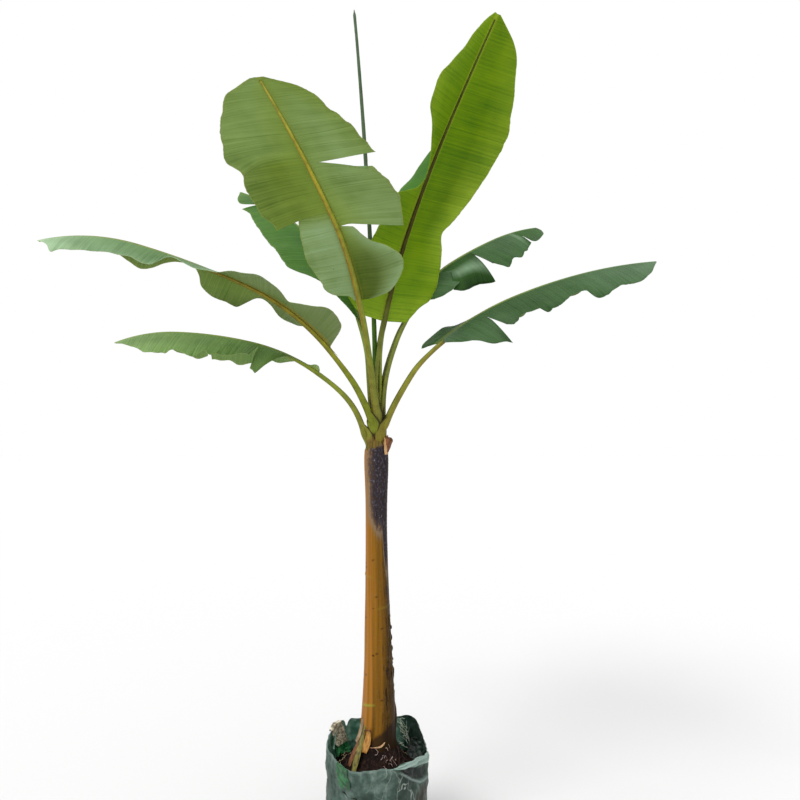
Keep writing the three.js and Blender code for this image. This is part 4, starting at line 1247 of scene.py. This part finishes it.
def lip_point(bearing, s, rim, folded):
    """Rim: turned in by a few millimetres, or folded out into a lip that hangs down the wall."""
    drop = .007 + .013 * smooth(-76, -34, wrapped(bearing))
    base = bag_radius(bearing, rim) + crumple(bearing, rim - drop * s)
    over = math.sin(min(1, s * 4) * math.pi / 2)
    gape = .004 * math.sin(s * 9 + bearing / 9) * smooth(.2, .5, s)
    out = .007 * over + .005 * s + gape
    down = .005 * math.sin(min(1, s * 4) * math.pi) - drop * max(0, s - .22) / .78
    turned = heading(bearing) * (base + out) + UP * (rim + down)
    plain = heading(bearing) * (base - .0045 * s) + UP * (rim + .0075 * s)
    return plain.lerp(turned, folded)


def grow_bag(skins):
    """Bag of thin film, folded out into a drooping lip at the right of the front."""
    bm = tube(300, 130)
    lid = [f for f in bm.faces if f.calc_center_median().z > .999]
    bmesh.ops.delete(bm, geom=lid, context="FACES_ONLY")
    marks = marks_on(bm, "bright", "worn", "rim", "brown", "deep", "gloom")
    foot, wall = .06, .80                                       # shares: across the foot, then up the wall

    def where(bearing, share, v):
        rim = rim_height(bearing)
        folded = folded_out(bearing)
        v[marks["bright"]] = near(bearing, 226, 11) * smooth(.26, .33, rim * share)
        v[marks["worn"]] = near(bearing, -62, 46) + .3 * near(bearing, 150, 60)
        v[marks["brown"]] = near(bearing, -28, 20) * (1 - smooth(.20, .28, rim * share))
        # Painted shade inside the bag on the right
        v[marks["gloom"]] = near(bearing, 22, 34, 4)
        if share < foot:
            s = share / foot
            radius = BAG["foot_radius"] * (.02 + .98 * s)
            return heading(bearing) * radius + UP * (.0004 + .0008 * (1 - s))
        if share < wall:
            s = (share - foot) / (wall - foot)
            height = s * rim
            corner = smooth(0, BAG["corner"], height)
            start = BAG["foot_radius"]
            radius = start + (bag_radius(bearing, height) - start) * (1 - (1 - corner) ** 2)
            fold = pocket(bearing, height)
            # Painted highlight along the crease of the fold, and painted shade in the hollow above it
            v[marks["rim"]] = 1.8 * max(0, fold)
            v[marks["deep"]] = max(0, -fold)
            radius += crumple(bearing, height) + .012 * fold
            return heading(bearing) * radius + UP * (height + .0004)
        s = (share - wall) / (1 - wall)
        # Painted highlight on the rim, strongest on the lip folded out
        v[marks["rim"]] = smooth(0, .15, s) * (.25 + .75 * folded)
        return lip_point(bearing, s, rim, folded)

    place(bm, where)
    return piece("grow_bag_film", bm, skins, "bag_film", ["grow_bag"], film=BAG["film"])


def scrap(name, bearing, width, inside, outside, skin, tilt, gap=.004, lean=.010, top=None):
    """Strip of film or cloth that starts on the inside of the wall and goes over the rim to a height
    outside, or up to a top height inside. Its lower end leans away from the wall."""
    bm = sheet(56, 26)
    seed = sum(map(ord, name))
    for v in bm.verts:
        share, side = v.co.x + .5, v.co.y * 2
        at = bearing + math.degrees(side * width / BAG["radius"]) + tilt * (share - .5)
        rim = rim_height(at)
        up = rim - inside
        length = (top - inside) if top else up + rim - outside
        travelled = length * share
        ragged = 1 + .25 * noise.noise(Vector((share * 6, side, seed)))
        at = bearing + (at - bearing) * ragged * (1 - .45 * abs(2 * share - 1) ** 5)
        crease = .0042 * noise.turbulence(Vector((share * 5, side * 2.2, seed)), 3, True)
        if travelled < up:
            height = inside + travelled
            off = -gap - crease - lean * (1 - travelled / up) ** 2
        else:
            height = rim - (travelled - up)
            off = gap + crease
        radius = bag_radius(at, height) + crumple(at, height) + off
        if not top:
            height += (gap + .003) * math.exp(-((travelled - up) / .008) ** 2)
        v.co = heading(at) * radius + UP * height
    return piece(name, bm, [skin], "bag_film", film=FILM["scrap"])


def soil_height(bearing, radius):
    """Surface of the potting mix: a mound round the stem that falls away to the wall of the bag."""
    edge = SOIL["edge"] + .008 * math.sin(math.radians(bearing + 60))
    mound = SOIL["crown"] - edge + .012 * math.cos(math.radians(bearing - 330))
    fall = math.exp(-max(0, radius - SOIL["shoulder"]) / SOIL["fall"])
    spot = heading(bearing) * radius
    rough = .008 * noise.noise(spot * 26) + .0045 * noise.noise(spot * 70) + .0022 * noise.noise(spot * 190)
    return edge + mound * fall + rough * smooth(.045, .080, radius)


def soil(skin):
    """Mound of mix that fills the bag: a side along the film, then the surface in to the stem."""
    bm = tube(220, 96)
    wall = .12                    # share of the tube's height that makes the side
    level = .31                   # height where it meets the film

    def where(bearing, share, v):
        edge = bag_radius(bearing, level) + crumple(bearing, level) - .0025
        if share < wall:
            s = share / wall
            height = .006 + s * (soil_height(bearing, edge) - .006)
            beside = bag_radius(bearing, height) + crumple(bearing, height) - .004
            radius = SOIL["foot"] + (beside - SOIL["foot"]) * smooth(.7, 1, s)
            return heading(bearing) * radius + UP * height
        s = (share - wall) / (1 - wall)
        radius = edge + (SOIL["inner"] - edge) * s
        return heading(bearing) * radius + UP * soil_height(bearing, radius)

    place(bm, where)
    return piece("potting_mix", bm, [skin], "soil", ["soil"])


def crumbs(skin):
    """Loose crumbs of the mix, pressed into its surface."""
    rng = random.Random("crumbs")
    bm = bmesh.new()
    for _ in range(900):
        bearing, radius = rng.uniform(0, 360), .072 + .100 * math.sqrt(rng.random())
        size = rng.uniform(.0015, .0030) if rng.random() < .8 else rng.uniform(.003, .0060)
        made = bmesh.ops.create_icosphere(bm, subdivisions=1, radius=size)["verts"]
        centre = heading(bearing) * radius + UP * (soil_height(bearing, radius) + size * .2)
        flat = rng.uniform(.5, .9)
        for v in made:
            v.co = Vector((v.co.x, v.co.y, v.co.z * flat)) * rng.uniform(.75, 1.2) + centre
    return piece("soil_crumbs", bm, [skin], "soil")


def strand(bm, points, width):
    """Fibre along points: slim, a little flattened, pointed at both ends."""
    part = bmesh.new()
    bmesh.ops.create_cone(part, cap_ends=True, segments=5, radius1=1, radius2=1, depth=1)
    upright = [e for e in part.edges if abs(e.verts[0].co.z - e.verts[1].co.z) > .5]
    bmesh.ops.subdivide_edges(part, edges=upright, cuts=len(points) * 2)
    shares = [i / (len(points) - 1) for i in range(len(points))]

    def spot(share):
        share = min(1, max(0, share))
        return Vector([flowing(shares, [p[k] for p in points], share) for k in range(3)])

    for v in part.verts:
        share = v.co.z + .5
        along = (spot(share + .02) - spot(share - .02)).normalized()
        side = along.cross(UP if abs(along.z) < .9 else Vector((1, 0, 0))).normalized()
        slim = width * math.sin(math.pi * (.06 + .88 * share)) ** .5
        v.co = spot(share) + (side * v.co.x + side.cross(along) * v.co.y * .6) * slim
    made = bpy.data.meshes.new("strand")
    part.to_mesh(made)
    part.free()
    bm.from_mesh(made)
    bpy.data.meshes.remove(made)


def litter(name, count, spread, size, skin, seed):
    """Straw and roots that lie on the mix: slim curved fibres round places (bearing, distance). Size is
    the least and most length, then the least and most half width."""
    rng = random.Random(seed)
    bm = bmesh.new()
    farthest = .172               # distance from the middle, inside the wall
    for _ in range(count):
        bearing, radius = rng.choice(spread)
        bearing += rng.uniform(-16, 16)
        radius += rng.uniform(-.022, .022)
        turn = math.radians(bearing + 90) + rng.gauss(0, .6)
        long = rng.uniform(*size[:2])
        bend = rng.uniform(-1, 1)
        start = heading(bearing) * radius
        points = []
        for i in range(5):
            s = i / 4 - .5
            spot = start + Vector((math.cos(turn + bend * s), math.sin(turn + bend * s), 0)) * long * s
            far = min(spot.length, farthest)
            spot = spot.normalized() * far
            around = math.degrees(math.atan2(spot.y, spot.x))
            lift = .002 + rng.uniform(0, .006) * (1 - 4 * s * s) + rng.uniform(0, .002)
            points.append(Vector((spot.x, spot.y, soil_height(around, far) + lift)))
        strand(bm, points, rng.uniform(*size[2:]))
    return piece(name, bm, [skin], "soil")


def wall_fibres(name, count, bearing, spread, heights, skin):
    """Pale fibres of torn sacking that cling to the inside of the bag and trail down to the mix."""
    rng = random.Random(name)
    bm = bmesh.new()
    for _ in range(count):
        low, high = sorted((rng.uniform(*heights), rng.uniform(*heights)))
        at, slant = bearing + rng.gauss(0, spread / 2), rng.uniform(-9, 16)
        points = []
        for i in range(6):
            s = i / 5
            height = low + (high - low) * s
            angle = at + slant * (s - .5) + rng.uniform(-2, 2)
            radius = bag_radius(angle, height) + crumple(angle, height) - rng.uniform(.002, .007)
            points.append(heading(angle) * radius + UP * min(height, rim_height(angle) - .002))
        strand(bm, points, rng.uniform(.0010, .0024))
    return piece(name, bm, [skin], "bag_film")


# ---- the plant ----------------------------------------------------------------------------------

scene = bpy.context.scene
scene.view_settings.view_transform = "Standard"

# Camera at the height of the crown's foot, level towards the back, its picture shifted to the plant
camera = bpy.data.objects.new("camera", bpy.data.cameras.new("camera"))
camera.location = (-.103, -2.30, 1.54)
camera.rotation_euler = (math.radians(90), 0, 0)
camera.data.sensor_width, camera.data.lens = 36, 27.63           # millimetres
camera.data.shift_x, camera.data.shift_y = .064, .044
scene.collection.objects.link(camera)
scene.camera = camera

# Upper and under skin of each blade:
#   dark, light, wax bloom with painted highlight, rib, margin, roughness, share of light let through, its
#   colour
SKINS = {
    "front_left": (
        ("#3f6a24", "#6c9038", "#8aa878", "#a9a24a", "#98a04c", .45, .28, "#8fb020"),
        ("#5c7719", "#8da534", "#9ebb89", "#8f9a3c", "#9fab57", .60, .22, "#92b02c")),
    # Front right blade: its underside is painted bright lime, painted light as if lit from behind, and its
    # rib colour is a painted highlight on the midrib's flanks
    "front_right": (
        ("#42761a", "#6c9a24", "#8fa850", "#a0a83c", "#98a83c", .45, .34, "#94c010"),
        ("#568800", "#95bb02", "#b3cc44", "#b4c43a", "#a9c32a", .58, .34, "#96c20c")),
    "back_left": (
        ("#285815", "#497b27", "#79994f", "#8aa04c", "#86a05c", .50, .18, "#74a82c"),
        ("#4c7427", "#769842", "#8ea880", "#98a048", "#98a868", .60, .18, "#84ae38")),
    "left_upper": (
        ("#416932", "#6e9653", "#b4d3ab", "#a0a858", "#b0c49c", .52, .16, "#84aa40"),
        ("#5a7c2b", "#8ca350", "#8e9c77", "#a08c2c", "#98a04c", .62, .20, "#a0b020")),
    "left_lower": (
        ("#4e7b2f", "#86ae56", "#a7c388", "#a8b044", "#94a868", .50, .16, "#84b030"),
        ("#587c37", "#80a04a", "#8ea67c", "#a09c40", "#9aa85c", .60, .18, "#8cb038")),
    "right_back": (
        ("#1f4313", "#365f23", "#83a17f", "#74904c", "#64845a", .48, .12, "#5c9030"),
        ("#48683a", "#6c8a54", "#8ea684", "#909848", "#889868", .58, .14, "#78a040")),
    "right_lower": (
        ("#254818", "#3f642f", "#6d8a6c", "#748c50", "#648258", .48, .12, "#60942c"),
        ("#406024", "#617a3a", "#6e8265", "#8c8c3c", "#8c9458", .60, .14, "#7ca038")),
    "back_right": (
        ("#2c680e", "#4d8617", "#577833", "#8ca048", "#8ea860", .50, .20, "#78aa28"),
        ("#336114", "#4d7424", "#5b7b38", "#98a044", "#98b060", .58, .20, "#84b034")),
}

# Stalks: colours at shares of the whole length, the colour of their lower and right side, and for one of
# them how much of that colour lies on its right instead of below
STALKS = {
    "front_left": (((0, "#75772f"), (.2, "#7c8731"), (.38, "#868a31"), (.7, "#a4a232"), (1, "#acb045")),
                   "#9d6b22", .8),
    # Past its neck the front right stalk is painted dark: painted shade of its thick midrib against the
    # light
    "front_right": (((0, "#767e35"), (.18, "#788037"), (.27, "#646d2c"), (.36, "#484614"), (.6, "#3a360e"),
                     (1, "#57681a")), "#42380f"),
    "back_left": (((0, "#71732a"), (.25, "#798b37"), (.5, "#88913b"), (1, "#889851")), "#767d33"),
    "left_upper": (((0, "#6d761e"), (.15, "#7b8425"), (.4, "#98882b"), (.6, "#91822f"), (1, "#778f53")),
                   "#4c5018"),
    "left_lower": (((0, "#77742a"), (.18, "#7f8830"), (.4, "#839431"), (.7, "#8da33e"), (1, "#839f51")),
                   "#6c6a20"),
    "right_back": (((0, "#6d6e2a"), (.2, "#798036"), (.5, "#879741"), (1, "#809755")), "#686725"),
    "right_lower": (((0, "#737025"), (.2, "#8b8e35"), (.4, "#8c903b"), (.7, "#71904e"), (1, "#7c9d73")),
                    "#78441d"),
    "back_right": (((0, "#7c822c"), (.3, "#85943b"), (1, "#7d8946")), "#7e8733"),
}
# Sheath that each petiole widens into: lower end, spread to each side and twist in degrees, taper, layer
# from the inside, share of it that has dried
CLASPS = {
    "left_lower": (1.500, 54, 30, .15, 2, .75), "right_lower": (1.506, 62, -74, .45, 2, .30),
    "left_upper": (1.530, 58, 62, .86, 4, .12), "right_back": (1.500, 80, -20, .2, 1, .3),
    "back_right": (1.500, 84, 0, .2, 1, .3), "back_left": (1.500, 84, 10, .2, 1, .3),
    "front_left": (1.540, 84, 14, .3, 1, 0), "front_right": (1.540, 70, -14, .3, 0, 0),
}

sheath = sheath_skin()
pseudostem(sheath)
golden = dry_skin("golden_sheath", "#8a5a22", "#c08a3c", .5)
olive = dry_skin("yellow_green_sheath", "#4c471c", "#847a34", .5)
pale = dry_skin("pale_torn_sheath", "#a87c50", "#dcb890", .6)
tan = dry_skin("tan_sheath", "#9a6c3c", "#dcb27c", .6)
rusty = dry_skin("rusty_sheath", "#4c2c18", "#86542e", .65)
ashen = dry_skin("ashen_sheath", "#6c5a44", "#a48c6c", .65)
# Strips of torn sheath: route (bearing, height, lift, share of the width), half width, skin, curl
TORN_SHEATHS = {
    "orange": (((236, .468, .001, .15), (237, .448, .004, .7), (237, .420, .006, 1), (234, .385, .012, .8)),
               .012, golden, .004),
    "hook": (((222, .452, .005, .3), (230, .462, .009, .8), (240, .466, .009, .8), (247, .458, .006, .3)),
             .004, rusty, .006),
    "olive": (((214, .470, -.001, .4), (217, .432, .004, .9), (220, .400, .012, 1), (223, .362, .028, 1),
               (225, .322, .046, .6)), .0095, olive, .004),
    "brown": (((205, .425, .002, .4), (207, .400, .010, .9), (210, .370, .026, 1), (212, .335, .044, .6)),
              .008, rusty, .004),
    "left": (((202, .490, -.001, .3), (199, .460, .002, .9), (197, .435, .004, 1), (196, .400, .010, .8)),
             .011, ashen, .002),
    "pale": (((246, .402, .003, .2), (258, .408, .007, 1), (274, .413, .008, 1), (288, .424, .003, .2)),
             .0060, pale, .003),
    "flap": (((324, 1.468, -.001, .6), (323, 1.486, .003, 1), (320, 1.506, .005, .8),
              (317, 1.532, .006, .15)), .012, tan, .004),
    "back": (((95, .560, -.002, .8), (97, .500, .003, 1), (94, .450, .005, .9), (92, .400, .010, .4)),
             .020, golden, .004),
    "right": (((30, .560, -.002, .6), (28, .500, .003, 1), (30, .450, .005, .9), (34, .400, .010, .4)),
              .014, rusty, .004),
}
for name, (route, width, skin, curl) in TORN_SHEATHS.items():
    torn_sheath("torn_sheath_" + name, route, width, skin, curl)
cut_stub(rusty, dry_skin("cut_flesh", "#5c3c28", "#9a7450", .7))
SPEAR_GREENS = ((0, "#34500e"), (.22, "#3c5c14"), (.40, "#485b3b"), (1, "#4c6045"))
rolled_spear(stalk_skin("rolled_leaf", SPEAR_GREENS, "#8c9c84", .9))

for name, leaf in LEAVES.items():
    stalk_green = stalk_skin("stalk_" + name, *STALKS[name])
    stalk(name, leaf, stalk_green)
    clasp(name, leaf, *CLASPS[name], stalk_green)
    upper, under = SKINS[name]
    blade(name, leaf, [blade_skin("upper_" + name, *upper), blade_skin("under_" + name, *under)])

grow_bag([film_skin("polythene_film", False), film_skin("polythene_film_inside", True)])
scrap("green_film_scrap", 229, .029, .345, .300, plain_film("green_film", "#0c3c1e", "#27703c"), tilt=6)
scrap("green_film_inside", 136, .036, .268, 0, plain_film("green_film_bright", "#22703c", "#58b874"),
      tilt=8, gap=.003, top=.342)
# Pale mint strip inside the wall on the left, which stands for a painted highlight on the inside of the
# film
scrap("mint_film_scrap", 157, .019, .336, 0, plain_film("mint_film", "#6ca892", "#cceadc"), tilt=-14,
      gap=.010, top=.382)
scrap("woven_scrap", 144, .044, .326, .390, woven_skin(), tilt=14, gap=.006)
# Fold of film inside on the right, coloured near black: painted shade where little light reaches inside the
# bag
scrap("film_fold_inside", 14, .070, .288, 0, plain_film("shaded_dark_film", "#0c1813", "#22342b"), tilt=10,
      gap=.004, lean=.055, top=.366)
earth = earth_skin()
soil(earth)
crumbs(earth)
litter("straw_litter", 16, ((20, .150), (40, .140), (150, .150), (140, .155)), (.03, .07, .0008, .0022),
       dry_skin("straw", "#8a7450", "#d8c8a0", .6), "straw")
wall_fibres("wall_fibres", 20, 51, 8, (.290, .424), dry_skin("pale_fibre", "#a0b098", "#e4ecd8", .6))
litter("pale_roots", 15, ((284, .090), (296, .094), (276, .092), (306, .096)), (.007, .019, .0009, .0015),
       dry_skin("pale_root", "#a08078", "#dcc6be", .7), "pale roots")
litter("root_fibres", 60, ((300, .10), (270, .12), (330, .11), (240, .12), (60, .12), (120, .12),
       (180, .12)), (.015, .040, .0005, .0011), dry_skin("coir_fibre", "#301c15", "#5c3a2c", .8), "roots")

# ---- floor and light ----------------------------------------------------------------------------

floor_mesh = bmesh.new()
bmesh.ops.create_grid(floor_mesh, x_segments=1, y_segments=1, size=40)
floor_data = bpy.data.meshes.new("studio_floor")
floor_mesh.to_mesh(floor_data)
floor_mesh.free()
floor = bpy.data.objects.new("studio_floor", floor_data)
scene.collection.objects.link(floor)
floor_data.materials.append(floor_skin())

world = bpy.data.worlds.new("studio")
world.use_nodes = True
world.node_tree.nodes["Background"].inputs["Color"].default_value = (1, 1, 1, 1)
world.node_tree.nodes["Background"].inputs["Strength"].default_value = 1
scene.world = world

# Soft sunlight from the upper left of the camera
sun = bpy.data.objects.new("soft_sun", bpy.data.lights.new("soft_sun", "SUN"))
sun.data.energy = 1.4
sun.data.angle = math.radians(25)
sun.rotation_euler = Vector((.62, .55, -.95)).to_track_quat("-Z", "Y").to_euler()
scene.collection.objects.link(sun)
